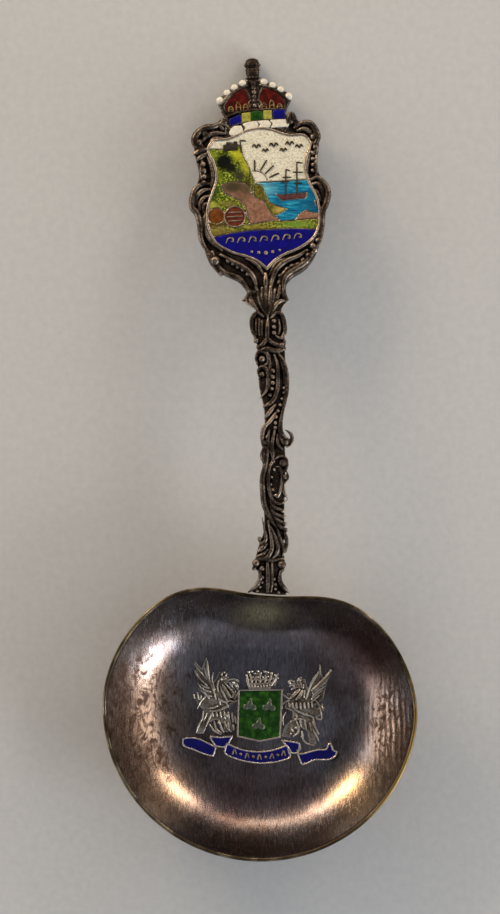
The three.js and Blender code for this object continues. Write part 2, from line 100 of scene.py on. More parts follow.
# ---- relief of the cast pieces ------------------------------------------------------------------------
# Each strand is its line, its radius, and the share of the radius left at its start and its end. Each bead
# is its place and its radius. The stem's are measured from its middle line and from the lip, the
# cartouche's from the middle of the shield, and the beasts' from the middle of the bowl.

STEM_STRANDS = [
    # flame leaf in the neck
    ([(-1.2, 46.2), (-1.1, 44.2), (-0.3, 41.4)], 0.3, 0.6, 0.2),
    ([(-0.6, 46.5), (-0.6, 43.9), (-0.3, 41.4)], 0.3, 0.6, 0.2),
    ([(0.1, 46.4), (0, 44.2), (-0.3, 41.5)], 0.36, 0.6, 0.2),
    ([(0.8, 46), (0.4, 44.2), (-0.1, 42)], 0.26, 0.6, 0.2),
    ([(-1.9, 45.9), (-1.5, 43.9), (-0.6, 41.9)], 0.26, 0.6, 0.2),
    # the neck's sides and its two thorns
    ([(-3.6, 46.9), (-3.1, 45.4), (-3.4, 44.7), (-4.3, 44.1)], 0.38, 0.6, 0.15),
    ([(-3.1, 45.4), (-2.7, 43.9), (-1.6, 42.4)], 0.33, 0.6, 0.3),
    ([(-4.2, 44.1), (-3, 43.6), (-1.8, 42.6)], 0.25, 0.2, 0.3),
    ([(2.2, 46.6), (2.1, 45.3), (2.4, 44.5), (3, 44.1)], 0.38, 0.6, 0.15),
    ([(2.9, 44.1), (1.6, 44.1), (0.8, 43.4), (0.3, 42)], 0.33, 0.2, 0.4),
    ([(1.5, 46.6), (1.3, 45.1), (0.6, 43.8)], 0.28, 0.5, 0.4),
    # upper panels, left and right of the rib
    ([(-0.9, 41.7), (-1.9, 42.3), (-2.7, 41.5), (-2.7, 39.8), (-2.2, 38.5)], 0.33, 0.5, 0.6),
    ([(-2.1, 41.4), (-2.1, 39)], 0.17, 0.5, 0.5),
    ([(-1.6, 41.4), (-1.6, 38.9)], 0.17, 0.5, 0.5),
    ([(-1.2, 41.2), (-1.2, 38.9)], 0.17, 0.5, 0.5),
    ([(0.1, 41.5), (0.9, 42.3), (1.8, 42), (2.2, 40.6),
      (2.2, 39.3), (1.6, 38.5), (0.8, 38.9)], 0.33, 0.4, 0.4),
    ([(1.3, 41.4), (1.5, 40.2), (1.3, 39.1)], 0.18, 0.4, 0.4),
    # rib, splitting into a scrolled foot, and the collar
    ([(-0.3, 41.5), (-0.4, 39.8), (-0.4, 38.4)], 0.36, 0.4, 0.8),
    ([(-0.4, 38.5), (-1.1, 37.6), (-1.9, 37)], 0.33, 0.8, 0.5),
    ([(-0.4, 38.5), (0.4, 37.8), (1.5, 37.4), (2.2, 37.8), (2.1, 38.5)], 0.33, 0.8, 0.4),
    ([(-1.9, 36.3), (-0.6, 36.9), (0.9, 36.6), (2.4, 37)], 0.4, 0.5, 0.6),
    # S-scroll
    ([(-1.9, 34.4), (-2.1, 35.7), (-1.5, 36.6), (-0.4, 36.1), (-0.3, 34.9), (-0.9, 34.4)], 0.3, 0.5, 0.4),
    ([(-1.6, 32.5), (-1.8, 33.6), (-1.2, 34.2), (-0.4, 33.6),
      (-0.3, 31.9), (-0.6, 30.6), (-1.6, 29.4)], 0.3, 0.4, 0.3),
    ([(0, 36.1), (0, 34.6), (0, 32.9), (-0.1, 31)], 0.2, 0.4, 0.4),
    ([(0.6, 36.1), (1.1, 34.6), (1.2, 32.5), (1.1, 30.8), (0.3, 29.1), (-1.2, 28.2)], 0.33, 0.4, 0.2),
    ([(1.1, 36.4), (2.1, 34.9), (2.5, 32.9), (2.5, 30.8), (2.2, 28.9), (1.9, 27.4)], 0.36, 0.5, 0.6),
    ([(1.5, 35.4), (2.1, 33.4), (2.1, 31.6)], 0.18, 0.4, 0.4),
    # leaf tips on the left
    ([(1.1, 30), (0.1, 28.8), (-1.2, 28.1)], 0.3, 0.5, 0.15),
    ([(0.8, 28.6), (-0.1, 27.4), (-0.9, 26.4)], 0.32, 0.5, 0.3),
    ([(0.9, 27.4), (0.1, 26.2), (-0.8, 25.2)], 0.28, 0.5, 0.3),
    # shell curl on the right
    ([(1.9, 27.6), (1.6, 25.9), (1.6, 24.6), (2.2, 23.6), (3.1, 23.1)], 0.38, 0.6, 0.5),
    ([(1.5, 24.4), (1.8, 23.1), (2.7, 22.2)], 0.3, 0.5, 0.3),
    ([(2.2, 24.8), (2.9, 24.4), (3.3, 23.7), (3.1, 22.6), (2.4, 22.1)], 0.3, 0.3, 0.4),
    ([(1.1, 24.1), (1.2, 22.6), (1.9, 21.8)], 0.25, 0.4, 0.4),
    # bulge on the left
    ([(0.1, 26.1), (-0.9, 25.1), (-1.2, 23.7), (-1.1, 22.3)], 0.36, 0.5, 0.5),
    ([(-0.8, 22.3), (-1.1, 20.8), (-0.6, 19.5)], 0.42, 0.6, 0.6),
    ([(-0.1, 24.8), (-0.3, 23.2), (0, 21.4)], 0.25, 0.4, 0.4),
    ([(0.8, 25.1), (0.4, 23.2), (0.3, 21.4), (0.6, 19.9)], 0.28, 0.5, 0.5),
    # long smooth S and the curve beside it
    ([(-0.4, 21.8), (-0.6, 19.9), (-1.1, 17.8), (-1.1, 15.8),
      (-0.9, 13.7), (-0.3, 12.2), (0.4, 10.9), (1.1, 9.9)], 0.45, 0.7, 0.15),
    ([(0.6, 21.8), (0.4, 20.2), (-0.1, 19.1), (-0.3, 17.2), (-0.1, 15.6),
      (0.4, 14.2), (1.3, 13.7), (2.1, 13.9), (2.7, 14.4)], 0.28, 0.5, 0.25),
    # volutes and the oval
    ([(0.8, 20.4), (1.6, 20.8), (2.4, 20.4), (2.5, 19.3), (2.1, 18.6), (1.3, 18.9)], 0.28, 0.4, 0.3),
    ([(2.4, 18.8), (2.7, 17.7), (2.2, 16.9), (1.6, 17.4)], 0.22, 0.4, 0.3),
    ([(0.8, 19.2), (1.5, 19.1), (1.8, 17.7), (1.6, 15.9), (1.1, 14.7), (0.4, 15.1)], 0.2, 0.4, 0.3),
    ([(2.1, 16.6), (2.1, 15.4), (2.7, 14.4)], 0.25, 0.5, 0.2),
    # four gadroon fingers
    ([(0, 14.2), (0.6, 13.2), (1.6, 12.8)], 0.28, 0.4, 0.9),
    ([(0, 13.3), (0.6, 12.3), (1.8, 11.8)], 0.28, 0.4, 0.9),
    ([(0.1, 12.4), (0.9, 11.4), (2.1, 10.8)], 0.28, 0.4, 0.9),
    ([(0.9, 11.1), (1.5, 10.3), (2.2, 9.9)], 0.28, 0.4, 0.9),
    # acanthus at the bottom
    ([(-1.2, 11.7), (-0.9, 10), (-0.6, 8.5), (-1.1, 7.8), (-1.6, 8.1), (-1.8, 8.8)], 0.28, 0.3, 0.3),
    ([(-0.3, 11.2), (0.1, 9), (0.3, 7.2), (-0.3, 5.8), (-1.3, 5.4), (-2.2, 5.8)], 0.33, 0.4, 0.25),
    ([(0.1, 10.3), (0.8, 8.7), (1.2, 7.2), (0.9, 6.1), (0, 5.2)], 0.3, 0.3, 0.3),
    ([(1.1, 9.9), (1.6, 8.2), (2.1, 6.9), (1.9, 5.8)], 0.3, 0.4, 0.3),
    ([(2.1, 9.9), (2.5, 8.2), (2.4, 6.3)], 0.3, 0.4, 0.3),
    ([(-0.4, 7.8), (-1.2, 7), (-1.9, 6.5)], 0.36, 0.3, 0.3),
    ([(-0.3, 6.9), (-1.1, 6.1), (-2.1, 5.8)], 0.25, 0.3, 0.3),
    # knob collar and the flared foot
    ([(-2.4, 5.1), (-1.2, 5.5), (0.3, 5.2), (2.2, 5.5)], 0.28, 0.5, 0.5),
    ([(-1.6, 3.8), (-1.5, 2.5), (-2.2, 1.2), (-3.3, 0.4)], 0.36, 0.6, 0.4),
    ([(1.6, 3.6), (1.5, 2.2), (2.1, 1.1), (2.9, 0.3)], 0.36, 0.6, 0.4),
    ([(-0.4, 5), (-0.3, 2.2), (-0.4, 0.4)], 0.33, 0.6, 0.6),
    ([(0.3, 5), (0.3, 2.2), (0.1, 0.4)], 0.26, 0.6, 0.6),
]
STEM_BEADS = [
    (-2.1, 38.1, 0.42), (-1.8, 37.2, 0.36), (0.6, 41.1, 0.33), (0.6, 40.2, 0.33), (0.6, 39.3, 0.33),
    (1.8, 37.4, 0.5), (-1.2, 35.4, 0.52), (-1.2, 33.1, 0.42), (0.4, 33.6, 0.36), (0.4, 32.7, 0.36),
    (0.4, 31.8, 0.34), (0.3, 30.9, 0.3), (0, 30, 0.28), (2.1, 31, 0.26), (2.1, 30.3, 0.26),
    (1.8, 29.4, 0.26), (1.5, 28.5, 0.26), (1.2, 27.6, 0.26), (0.9, 26.7, 0.26), (0.8, 25.8, 0.28),
    (0.8, 25.1, 0.28), (-0.4, 23.7, 0.3), (-0.8, 22.8, 0.36), (-0.6, 21.9, 0.3), (2.4, 22.9, 0.45),
    (1.9, 19.8, 0.6), (2.2, 17.7, 0.42), (0.6, 18.8, 0.22), (0.2, 17.7, 0.22), (0.1, 16.6, 0.22),
    (0.4, 15.8, 0.22), (0.9, 15, 0.22), (1.9, 12.6, 0.36), (2.1, 11.7, 0.36), (2.2, 10.7, 0.36),
    (2.4, 9.8, 0.33), (-1.6, 8.5, 0.33), (-2.1, 4.8, 0.62), (-1.2, 4, 0.42), (-2.4, 4, 0.36),
    (1.8, 4.6, 0.66), (1.9, 3.8, 0.33), (-1.1, 2.7, 0.25), (-1.2, 1.9, 0.25), (-1.5, 1.2, 0.25),
    (-1.9, 0.6, 0.25), (0.6, 2.4, 0.25), (0.8, 1.6, 0.25), (0.8, 0.9, 0.25), (1.3, 0.4, 0.25),
]

CARTOUCHE_STRANDS = [
    # left: top volute, shell tips, rims
    ([(-4.2, 10.4), (-5.3, 11.3), (-6.7, 10.9), (-7.9, 10.8),
      (-9.2, 10), (-9.7, 8.8), (-9.3, 7.8), (-8.4, 8.1)], 0.55, 0.4, 0.4),
    ([(-4.8, 9.7), (-6.3, 9.9), (-7.6, 9.6), (-8.4, 8.8)], 0.4, 0.4, 0.4),
    ([(-5.5, 9.1), (-6.7, 9), (-7.5, 8.2)], 0.35, 0.4, 0.3),
    ([(-7.7, 7.6), (-8.9, 7.3), (-10.3, 6.7)], 0.4, 0.5, 0.15),
    ([(-7.7, 6.9), (-8.8, 6.4), (-9.7, 5.7)], 0.36, 0.5, 0.15),
    ([(-7.9, 6.7), (-7.4, 4.9), (-7.2, 3.2), (-7.6, 1.7)], 0.3, 0.5, 0.5),
    ([(-8.7, 5.9), (-8.9, 4.4), (-8.9, 2.9)], 0.3, 0.4, 0.4),
    # left wing with its ribs
    ([(-7.4, 2), (-8.6, 2.2), (-9.9, 1.6), (-10.5, 0.2), (-10.6, -1.3),
      (-9.9, -2.4), (-9.6, -4.1), (-9.6, -6), (-9.1, -7.6), (-8.2, -8.7)], 0.5, 0.4, 0.5),
    ([(-7.6, 1.3), (-8.8, 1.2), (-9.8, 0.3), (-10, -1)], 0.36, 0.4, 0.3),
    ([(-7.8, 0.3), (-8.7, 0.1), (-9.4, -0.8), (-9.5, -2)], 0.33, 0.4, 0.3),
    ([(-8.2, -0.7), (-8.8, -1.1), (-9, -2.3)], 0.28, 0.4, 0.3),
    ([(-8.1, -1), (-8.8, -3), (-8.8, -5.1), (-8, -6.9), (-6.5, -8.2)], 0.3, 0.5, 0.5),
    # left: foot
    ([(-9.1, -7.4), (-8.5, -9), (-7.9, -10.4), (-6.8, -12.3)], 0.45, 0.5, 0.3),
    ([(-8.1, -8.2), (-7.7, -9.5), (-7.2, -10.8), (-5.7, -12.2), (-4.7, -12.8)], 0.42, 0.5, 0.3),
    ([(-6.9, -8.8), (-4.9, -10.1), (-3.1, -11.3), (-2, -12.8), (-1.7, -14.6)], 0.42, 0.5, 0.5),
    ([(-7.6, -10.7), (-5.9, -11.8), (-4.3, -12.6), (-3.3, -14.1), (-2.9, -15)], 0.42, 0.4, 0.5),
    # right: curl by the crown, top volute, rims
    ([(3.9, 9.9), (4.6, 11.1), (5.2, 11.7), (5.8, 11.2), (5.6, 10.1)], 0.36, 0.4, 0.4),
    ([(5.4, 9.9), (6.5, 10.6), (7.7, 10.6), (8.5, 9.7), (8.9, 8.3), (8.4, 7.3), (7.8, 7.6)], 0.5, 0.4, 0.4),
    ([(5.8, 9.5), (6.9, 9.7), (7.7, 9.2), (8.1, 8.2)], 0.4, 0.4, 0.3),
    ([(8.7, 7.4), (8.6, 6.4), (7.8, 5.5)], 0.3, 0.4, 0.3),
    ([(7.7, 6.4), (7.2, 4.9), (6.9, 3.4), (7.1, 1.8)], 0.3, 0.5, 0.5),
    ([(8.6, 6.1), (8.4, 4.5), (8.4, 3), (8.2, 2.1)], 0.28, 0.4, 0.4),
    # right wing with its ribs
    ([(7.3, 1.8), (8.5, 2.1), (9.4, 1.2), (9.9, -0.3), (9.5, -2),
      (8.9, -3.2), (8.7, -5.2), (8.4, -7), (7.9, -8.5)], 0.5, 0.4, 0.5),
    ([(7.4, 1.1), (8.5, 1.1), (9.1, -0.1), (9, -1.7)], 0.36, 0.4, 0.3),
    ([(7.5, 0.1), (8.2, -0.1), (8.5, -1.3), (8.2, -2.5)], 0.33, 0.4, 0.3),
    ([(7.7, -1), (8, -1.9), (7.9, -3.1)], 0.28, 0.4, 0.3),
    ([(8.1, -2.5), (8.4, -4.4), (8, -6.2), (6.9, -7.7), (5.3, -8.6)], 0.3, 0.5, 0.5),
    # right: foot
    ([(7.9, -8.2), (7, -9.5), (5.9, -10.8), (4.4, -11.7),
      (3.1, -12.5), (2.4, -13.7), (2.3, -15.1)], 0.45, 0.4, 0.5),
    ([(6.3, -8.9), (4.8, -9.8), (2.9, -10.5), (1.5, -11.6), (0.7, -13.3), (0.3, -14.6)], 0.42, 0.5, 0.5),
    ([(5.6, -10.7), (3.9, -11.3), (2.4, -12.4), (1.5, -13.9)], 0.33, 0.4, 0.4),
    # middle, under the shield's point
    ([(-0.2, -12), (-0.3, -13.4), (-0.3, -14.7)], 0.42, 0.4, 0.5),
    ([(-3, -9.6), (-1.4, -10.8), (-0.5, -12.4)], 0.3, 0.4, 0.3),
    ([(3, -9.9), (1.4, -10.8), (0.3, -12.5)], 0.3, 0.4, 0.3),
]
CARTOUCHE_BEADS = [
    (-8, 9.9, 0.5), (-9, 8.6, 0.6), (-8.6, 5.2, 0.45), (-8.5, 4.2, 0.42), (-8.5, 3.3, 0.4),
    (-8.6, 2.4, 0.36), (-7.7, -9.8, 0.85), (-5.8, -9.9, 0.33), (-5, -10.4, 0.33), (-4.3, -10.9, 0.36),
    (-3.6, -11.4, 0.36), (-2.9, -12.1, 0.36), (-6.9, -11.7, 0.4), (5, 10.9, 0.42), (8.2, 8.4, 0.5),
    (8.4, 6.8, 0.42), (8, 5.9, 0.33), (7.9, 5, 0.33), (7.9, 4.1, 0.33), (7.8, 3.2, 0.33),
    (8.3, -5.6, 0.36), (8.1, -6.7, 0.36), (7.9, -7.6, 0.4), (7.1, -8.4, 0.5), (7.4, -9.1, 0.4),
    (6.3, -9.8, 0.45), (5.5, -10.5, 0.4), (4.7, -11.1, 0.4), (3.8, -11.3, 0.4), (3, -11.7, 0.36),
    (1.9, -12.7, 0.33), (1.7, -13.6, 0.3),
]

LEFT_BEAST_STRANDS = [
    # long feathers of the wing
    ([(-10.1, 8.45), (-8.6, 6.65), (-7.4, 5.3), (-6.8, 3.65)], 0.15, 0.4, 0.8),
    ([(-8, 8.9), (-7.95, 7.7), (-7.7, 6.05)], 0.24, 0.3, 0.7),
    ([(-8.45, 7.85), (-8.15, 6.8), (-7.7, 5.9)], 0.19, 0.3, 0.8),
    ([(-7.55, 5.9), (-7.1, 4.4), (-6.65, 2.9)], 0.17, 0.6, 0.6),
    ([(-8.15, 6.5), (-7.4, 5.45), (-6.95, 4.7)], 0.15, 0.6, 0.6),
    ([(-7.1, 7.1), (-7.25, 5.9), (-6.8, 4.4)], 0.14, 0.3, 0.6),
    # short feathers between them
    ([(-9.9, 7.4), (-9.35, 6.35), (-8.6, 5.6)], 0.22, 0.4, 0.7),
    ([(-9.3, 6.2), (-8.6, 5.6), (-8, 5)], 0.2, 0.4, 0.7),
    ([(-9, 5.3), (-8.3, 4.85), (-7.7, 4.7)], 0.2, 0.5, 0.7),
    ([(-8.6, 4.4), (-8, 4.25), (-7.4, 4.1)], 0.19, 0.5, 0.7),
    ([(-8.45, 3.65), (-7.85, 3.5), (-7.25, 3.5)], 0.19, 0.5, 0.7),
    ([(-9.5, 5.6), (-9.05, 4.85), (-8.45, 4.4)], 0.18, 0.4, 0.7),
    ([(-9.05, 4.4), (-8.3, 3.8), (-7.7, 3.05)], 0.18, 0.4, 0.7),
    ([(-9.5, 4.1), (-9.3, 2.9)], 0.19, 0.5, 0.5),
    ([(-10.05, 3.8), (-9.9, 3.05)], 0.19, 0.6, 0.6),
    ([(-8.9, 3.65), (-9.05, 2.6)], 0.16, 0.5, 0.5),
    ([(-8, 3.65), (-8.9, 2.75), (-9.5, 1.55)], 0.15, 0.6, 0.5),
    # neck, head, crest and mane
    ([(-6.35, 4.1), (-6.45, 5.15), (-6.2, 5.9), (-5.3, 6.05)], 0.17, 0.5, 0.7),
    ([(-5.9, 6.5), (-5.75, 6.95), (-5.45, 7.25)], 0.22, 0.7, 0.5),
    ([(-5.3, 6.35), (-5, 6.95)], 0.19, 0.7, 0.5),
    ([(-6.2, 6.2), (-5.6, 6.35), (-5, 6.05)], 0.18, 0.7, 0.6),
    ([(-5.75, 5.3), (-5.15, 4.25), (-4.4, 3.2)], 0.3, 0.5, 0.7),
    ([(-6.05, 5), (-5.6, 3.95), (-5, 2.75)], 0.2, 0.5, 0.6),
    ([(-5.45, 5.6), (-4.4, 4.4), (-3.95, 3.8)], 0.16, 0.5, 0.6),
    ([(-4.85, 5.9), (-3.95, 6.05), (-3.2, 5.6)], 0.17, 0.6, 0.5),
    ([(-4.4, 5.15), (-3.65, 5.3), (-3.2, 4.7)], 0.17, 0.6, 0.5),
    ([(-4.7, 5.6), (-4.1, 4.7)], 0.15, 0.6, 0.6),
    ([(-3.95, 5.75), (-3.35, 4.4)], 0.15, 0.6, 0.6),
    # forelegs and claws
    ([(-4.25, 3.2), (-3.95, 3.8), (-3.65, 4.35)], 0.22, 0.7, 0.4),
    ([(-3.95, 3.05), (-3.5, 3.65), (-3.2, 4.1)], 0.2, 0.7, 0.4),
    ([(-4.7, 2.9), (-3.95, 2.6), (-3.35, 2.9)], 0.19, 0.6, 0.4),
    ([(-6.35, 3.2), (-5.45, 2.6), (-4.55, 2.75)], 0.19, 0.6, 0.6),
    ([(-6.2, 3.05), (-6.05, 2.15)], 0.18, 0.6, 0.6),
    ([(-5.15, 2.6), (-4.85, 1.7)], 0.17, 0.6, 0.6),
    ([(-7.85, 1.55), (-6.95, 1.75), (-6.35, 2.1)], 0.19, 0.4, 0.6),
    ([(-7.55, 1.15), (-6.05, 1.4), (-4.7, 2.1)], 0.22, 0.4, 0.7),
    # hair of the body
    ([(-7.25, 1.1), (-7.1, 0.35)], 0.17, 0.5, 0.4),
    ([(-6.65, 1.25), (-6.5, 0.35)], 0.17, 0.5, 0.4),
    ([(-6.05, 1.15), (-5.9, 0.25)], 0.17, 0.5, 0.4),
    ([(-5.45, 1.25), (-5.3, 0.05)], 0.17, 0.5, 0.4),
    ([(-4.85, 1.25), (-4.7, -0.1)], 0.17, 0.5, 0.4),
    ([(-4.25, 1.1), (-4.1, -0.55)], 0.17, 0.5, 0.4),
    ([(-3.8, 0.5), (-3.65, -0.7)], 0.17, 0.5, 0.4),
    ([(-4.85, -0.4), (-4.7, -1.75)], 0.17, 0.5, 0.4),
    ([(-4.1, -0.7), (-3.95, -1.75)], 0.17, 0.5, 0.4),
    # hind legs
    ([(-8.6, 1.25), (-8.75, 0.2), (-9.2, -0.7), (-9.5, -1.45), (-9.65, -2.2)], 0.19, 0.6, 0.4),
    ([(-7.25, 0.95), (-7.85, -0.25), (-8.3, -1.3)], 0.19, 0.6, 0.4),
    ([(-8, 0.95), (-8.6, -0.4)], 0.16, 0.5, 0.4),
    ([(-6.2, -0.1), (-5.9, -1.3), (-5.45, -2.05)], 0.2, 0.5, 0.5),
    ([(-5.45, -0.25), (-5, -1.3), (-4.4, -1.9)], 0.17, 0.5, 0.5),
    ([(-6.95, -0.25), (-6.65, -1.45), (-5.75, -2.2)], 0.17, 0.5, 0.5),
    ([(-7.7, -0.7), (-6.95, -1.75), (-5.9, -2.35)], 0.17, 0.5, 0.5),
]
LEFT_BEAST_BEADS = [(-5.45, 7.05, 0.25), (-5.9, 6.05, 0.3), (-4.1, 5.55, 0.25), (-3.65, 5, 0.25),
                    (-8.3, 5.3, 0.2), (-5, 0.5, 0.25), (-6.2, -0.55, 0.28)]

RIGHT_BEAST_STRANDS = [
    # long feathers of the wing
    ([(10.65, 7.4), (9.75, 6.2), (8.55, 5), (7.65, 4.25)], 0.24, 0.7, 0.7),
    ([(10.35, 6.35), (9.15, 5.15), (7.95, 4.1)], 0.2, 0.4, 0.7),
    ([(10.05, 5.75), (8.85, 4.8), (7.8, 3.8)], 0.19, 0.4, 0.7),
    ([(9.75, 5), (8.7, 4.25), (7.8, 3.35)], 0.2, 0.4, 0.7),
    ([(9.45, 4.4), (8.55, 3.8), (7.65, 2.9)], 0.18, 0.4, 0.7),
    ([(9, 3.65), (8.25, 3.05), (7.65, 2.45)], 0.17, 0.4, 0.7),
    ([(9, 8.3), (9.05, 7.4), (9, 6.65)], 0.15, 0.3, 0.6),
    ([(8.85, 7.25), (8.25, 6.2), (7.65, 5.15)], 0.21, 0.4, 0.7),
    ([(8.45, 6.8), (7.95, 5.9), (7.45, 4.55)], 0.17, 0.4, 0.7),
    ([(8.1, 6.2), (7.65, 5.3), (7.3, 4.1)], 0.16, 0.4, 0.6),
    ([(7.45, 4.7), (7.15, 3.8), (6.85, 2.9)], 0.17, 0.5, 0.7),
    # neck, head and mane
    ([(6.25, 6.35), (5.8, 6.05), (6.1, 5.3), (6.25, 4.7)], 0.19, 0.6, 0.6),
    ([(5.6, 6.05), (5.65, 5.45), (5.95, 4.7)], 0.16, 0.6, 0.6),
    ([(4.15, 5.45), (4.6, 5.85), (5.2, 5.6)], 0.18, 0.5, 0.6),
    ([(4.3, 4.85), (4.9, 5.3), (5.5, 5.15)], 0.18, 0.5, 0.6),
    ([(4.6, 4.4), (5.35, 4.85), (5.8, 4.7)], 0.15, 0.5, 0.6),
    ([(4.45, 3.05), (5.2, 3.8), (5.95, 4.55)], 0.3, 0.4, 0.6),
    ([(5.35, 2.9), (5.95, 3.5), (6.4, 4.4)], 0.3, 0.5, 0.5),
    ([(6.4, 4.55), (6.55, 5.3)], 0.17, 0.6, 0.4),
    ([(6.7, 4.4), (6.55, 3.2)], 0.17, 0.5, 0.5),
    # forelegs and claws
    ([(3.1, 3.95), (3.7, 3.5), (4.4, 3)], 0.17, 0.5, 0.7),
    ([(3.1, 2), (3.7, 2.55), (4.45, 2.85)], 0.17, 0.5, 0.7),
    ([(3.2, 1.55), (3.25, 2.15)], 0.15, 0.6, 0.6),
    ([(3.85, 1.1), (3.4, 0.2), (3.5, -1)], 0.14, 0.4, 0.4),
    # hair of the body
    ([(4.3, 2.55), (4.4, 1.75)], 0.19, 0.5, 0.5),
    ([(4.85, 2.55), (4.9, 1.6)], 0.19, 0.5, 0.5),
    ([(5.45, 2.55), (5.5, 1.45)], 0.19, 0.5, 0.5),
    ([(6.05, 2.55), (6.1, 1.45)], 0.19, 0.5, 0.5),
    ([(6.65, 2.55), (6.7, 1.55)], 0.19, 0.5, 0.5),
    ([(7.25, 2.55), (7.3, 1.6)], 0.19, 0.5, 0.5),
    ([(7.8, 2.55), (7.85, 1.7)], 0.19, 0.5, 0.5),
    ([(5.95, 0.2), (6.2, -1.3)], 0.17, 0.5, 0.4),
    ([(6.7, -0.1), (6.95, -1.75)], 0.17, 0.5, 0.4),
    ([(5.35, 0.8), (5.6, 0.05)], 0.17, 0.5, 0.4),
    ([(6.25, -1.75), (6.5, -2.95)], 0.17, 0.5, 0.4),
    ([(7.45, -0.55), (7.7, -1.75)], 0.17, 0.5, 0.4),
    ([(7, 0.95), (7.25, 0.35)], 0.17, 0.5, 0.4),
    # hind legs and tail
    ([(4.6, 2.3), (5.35, 1.4), (6.55, 0.8), (7.8, 0.35), (8.1, -0.4)], 0.19, 0.5, 0.7),
    ([(8, 0.05), (8.25, -1.15), (8.85, -2.35)], 0.25, 0.6, 0.4),
    ([(7.8, -0.4), (7.95, -1.45), (8.55, -2.65), (8.85, -3.4)], 0.17, 0.5, 0.4),
    ([(8.25, 2.9), (8.85, 2.15), (9.15, 1.1), (9.3, 0.05)], 0.16, 0.5, 0.5),
    ([(8.4, 0.05), (9.3, -0.1)], 0.15, 0.5, 0.5),
    ([(9.35, 2.3), (9.5, 1.25)], 0.22, 0.5, 0.5),
    ([(5.35, -0.1), (5.75, -1.15), (5.65, -2.05), (4.9, -2.65)], 0.19, 0.6, 0.4),
    ([(5.05, -0.25), (5.65, 0.05), (6.4, -0.1)], 0.18, 0.5, 0.5),
    ([(4.6, -1.3), (5.05, -2.05)], 0.15, 0.5, 0.5),
    ([(6.1, -2.5), (6.85, -3.55), (8.25, -4)], 0.14, 0.4, 0.4),
]
RIGHT_BEAST_BEADS = [(10.65, 7.35, 0.3), (5.95, 5.9, 0.28), (4.45, 5.45, 0.25), (5.05, 5, 0.22),
                     (9.5, 1.7, 0.3), (4.9, -1.75, 0.22), (5.35, -1.3, 0.25), (4.6, -2.2, 0.2)]

# ---- making and finishing pieces ----------------------------------------------------------------------


def centre(node):
    low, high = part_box(node)
    return (low + high) / 2


def finial_frame():
    """The finial's own frame, found from its pearls: x across, y to the crown, z out of the shield."""
    low = (centre("pearl_left_1") + centre("pearl_right_1")) / 2
    high = (centre("pearl_left_4") + centre("pearl_right_4")) / 2
    across = (centre("pearl_right_1") - centre("pearl_left_1")).normalized()
    along = high - low
    along = (along - across * along.dot(across)).normalized()
    turn = Matrix((across, along, across.cross(along))).transposed()
    x, y = CROWN_LEAN, PEARL_PLACES[0][1]
    return Matrix.Translation(low - turn @ Vector((x, y, PEARL_HEIGHT)) * MM) @ turn.to_4x4()


FINIAL = finial_frame()
BOWL = Matrix.Rotation(BOWL_TURN, 4, "Z")


def on_finial(x, y, height=0.0):
    return FINIAL @ (Vector((x, y, height)) * MM)


def on_floor(x, y, height=0.0):
    """A place over the bowl's floor, square to the whole spoon."""
    return Vector((x, y, height)) * MM


def on_bowl(x, y, height=0.0):
    """A place over the bowl, turned as the bowl is."""
    return BOWL @ (Vector((x, y, height)) * MM)


def stem_height(y):
    """Height of the stem's middle at a distance along the spoon."""
    share = (y - STEM_FOOT) / (STEM_TOP - STEM_FOOT)
    straight = STEM_FOOT_HEIGHT + (STEM_TOP_HEIGHT - STEM_FOOT_HEIGHT) * share
    return straight + STEM_RISE * 4 * share * (1 - share)


def on_stem(x, y, height=0.0):
    """A place on the stem, whose face falls away toward its two edges."""
    along = LIP_AT_STEM + y
    rounded = height - 0.3 * (x / 2.4) ** 2
    return Vector((STEM_MIDDLE + x, along, stem_height(along) + rounded)) * MM


def deselect():
    if bpy.context.object and bpy.context.object.mode != "OBJECT":
        bpy.ops.object.mode_set(mode="OBJECT")
    bpy.ops.object.select_all(action="DESELECT")


def take(*objects):
    """Selects these objects alone, with the first one active."""
    deselect()
    for piece in objects:
        piece.select_set(True)
    bpy.context.view_layer.objects.active = objects[0]
    return objects[0]


def join(*objects):
    take(*objects)
    if len(objects) > 1:
        bpy.ops.object.join()
    return bpy.context.object


def apply(piece, kind, **settings):
    """Adds a modifier with its settings and applies it."""
    take(piece)
    modifier = piece.modifiers.new(kind.title(), kind)
    for name, value in settings.items():
        setattr(modifier, name, value)
    bpy.ops.object.modifier_apply(modifier=modifier.name)
    return piece


def finish(piece, name, material, slot, *nodes):
    """Names a piece, gives it its material, ties it to the frame, and hides the nodes it stands for."""
    piece.name = name
    piece.data.name = name
    piece.data.materials.clear()
    piece.data.materials.append(material)
    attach(piece, "root")
    if nodes:
        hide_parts(*nodes)
    return piece


def smooth_line(points, steps):
    """A smooth line through the points, with a number of steps to each span."""
    points = [Vector(p) for p in points]
    ends = [2 * points[0] - points[1], *points, 2 * points[-1] - points[-2]]
    line = []
    for a, b, c, d in zip(ends, ends[1:], ends[2:], ends[3:]):
        for step in range(steps):
            t = step / steps
            line.append(0.5 * (2 * b + (c - a) * t + (2 * a - 5 * b + 4 * c - d) * t**2
                               + (3 * b - a - 3 * c + d) * t**3))
    line.append(points[-1])
    return line


def tubes(lines, sides=2):
    """Round tubes along lines of (place, radius), as one mesh of closed shells."""
    curve = bpy.data.curves.new("tubes", "CURVE")
    curve.dimensions = "3D"
    curve.bevel_depth = 1.0
    curve.bevel_resolution = sides
    curve.use_fill_caps = True
    for line, closed in lines:
        spline = curve.splines.new("POLY")
        spline.points.add(len(line) - 1)
        spline.use_cyclic_u = closed
        for point, (place, radius) in zip(spline.points, line):
            point.co = (*place, 1.0)
            point.radius = radius
    piece = bpy.data.objects.new("tubes", curve)
    bpy.context.scene.collection.objects.link(piece)
    take(piece)
    bpy.ops.object.convert(target="MESH")
    return bpy.context.object


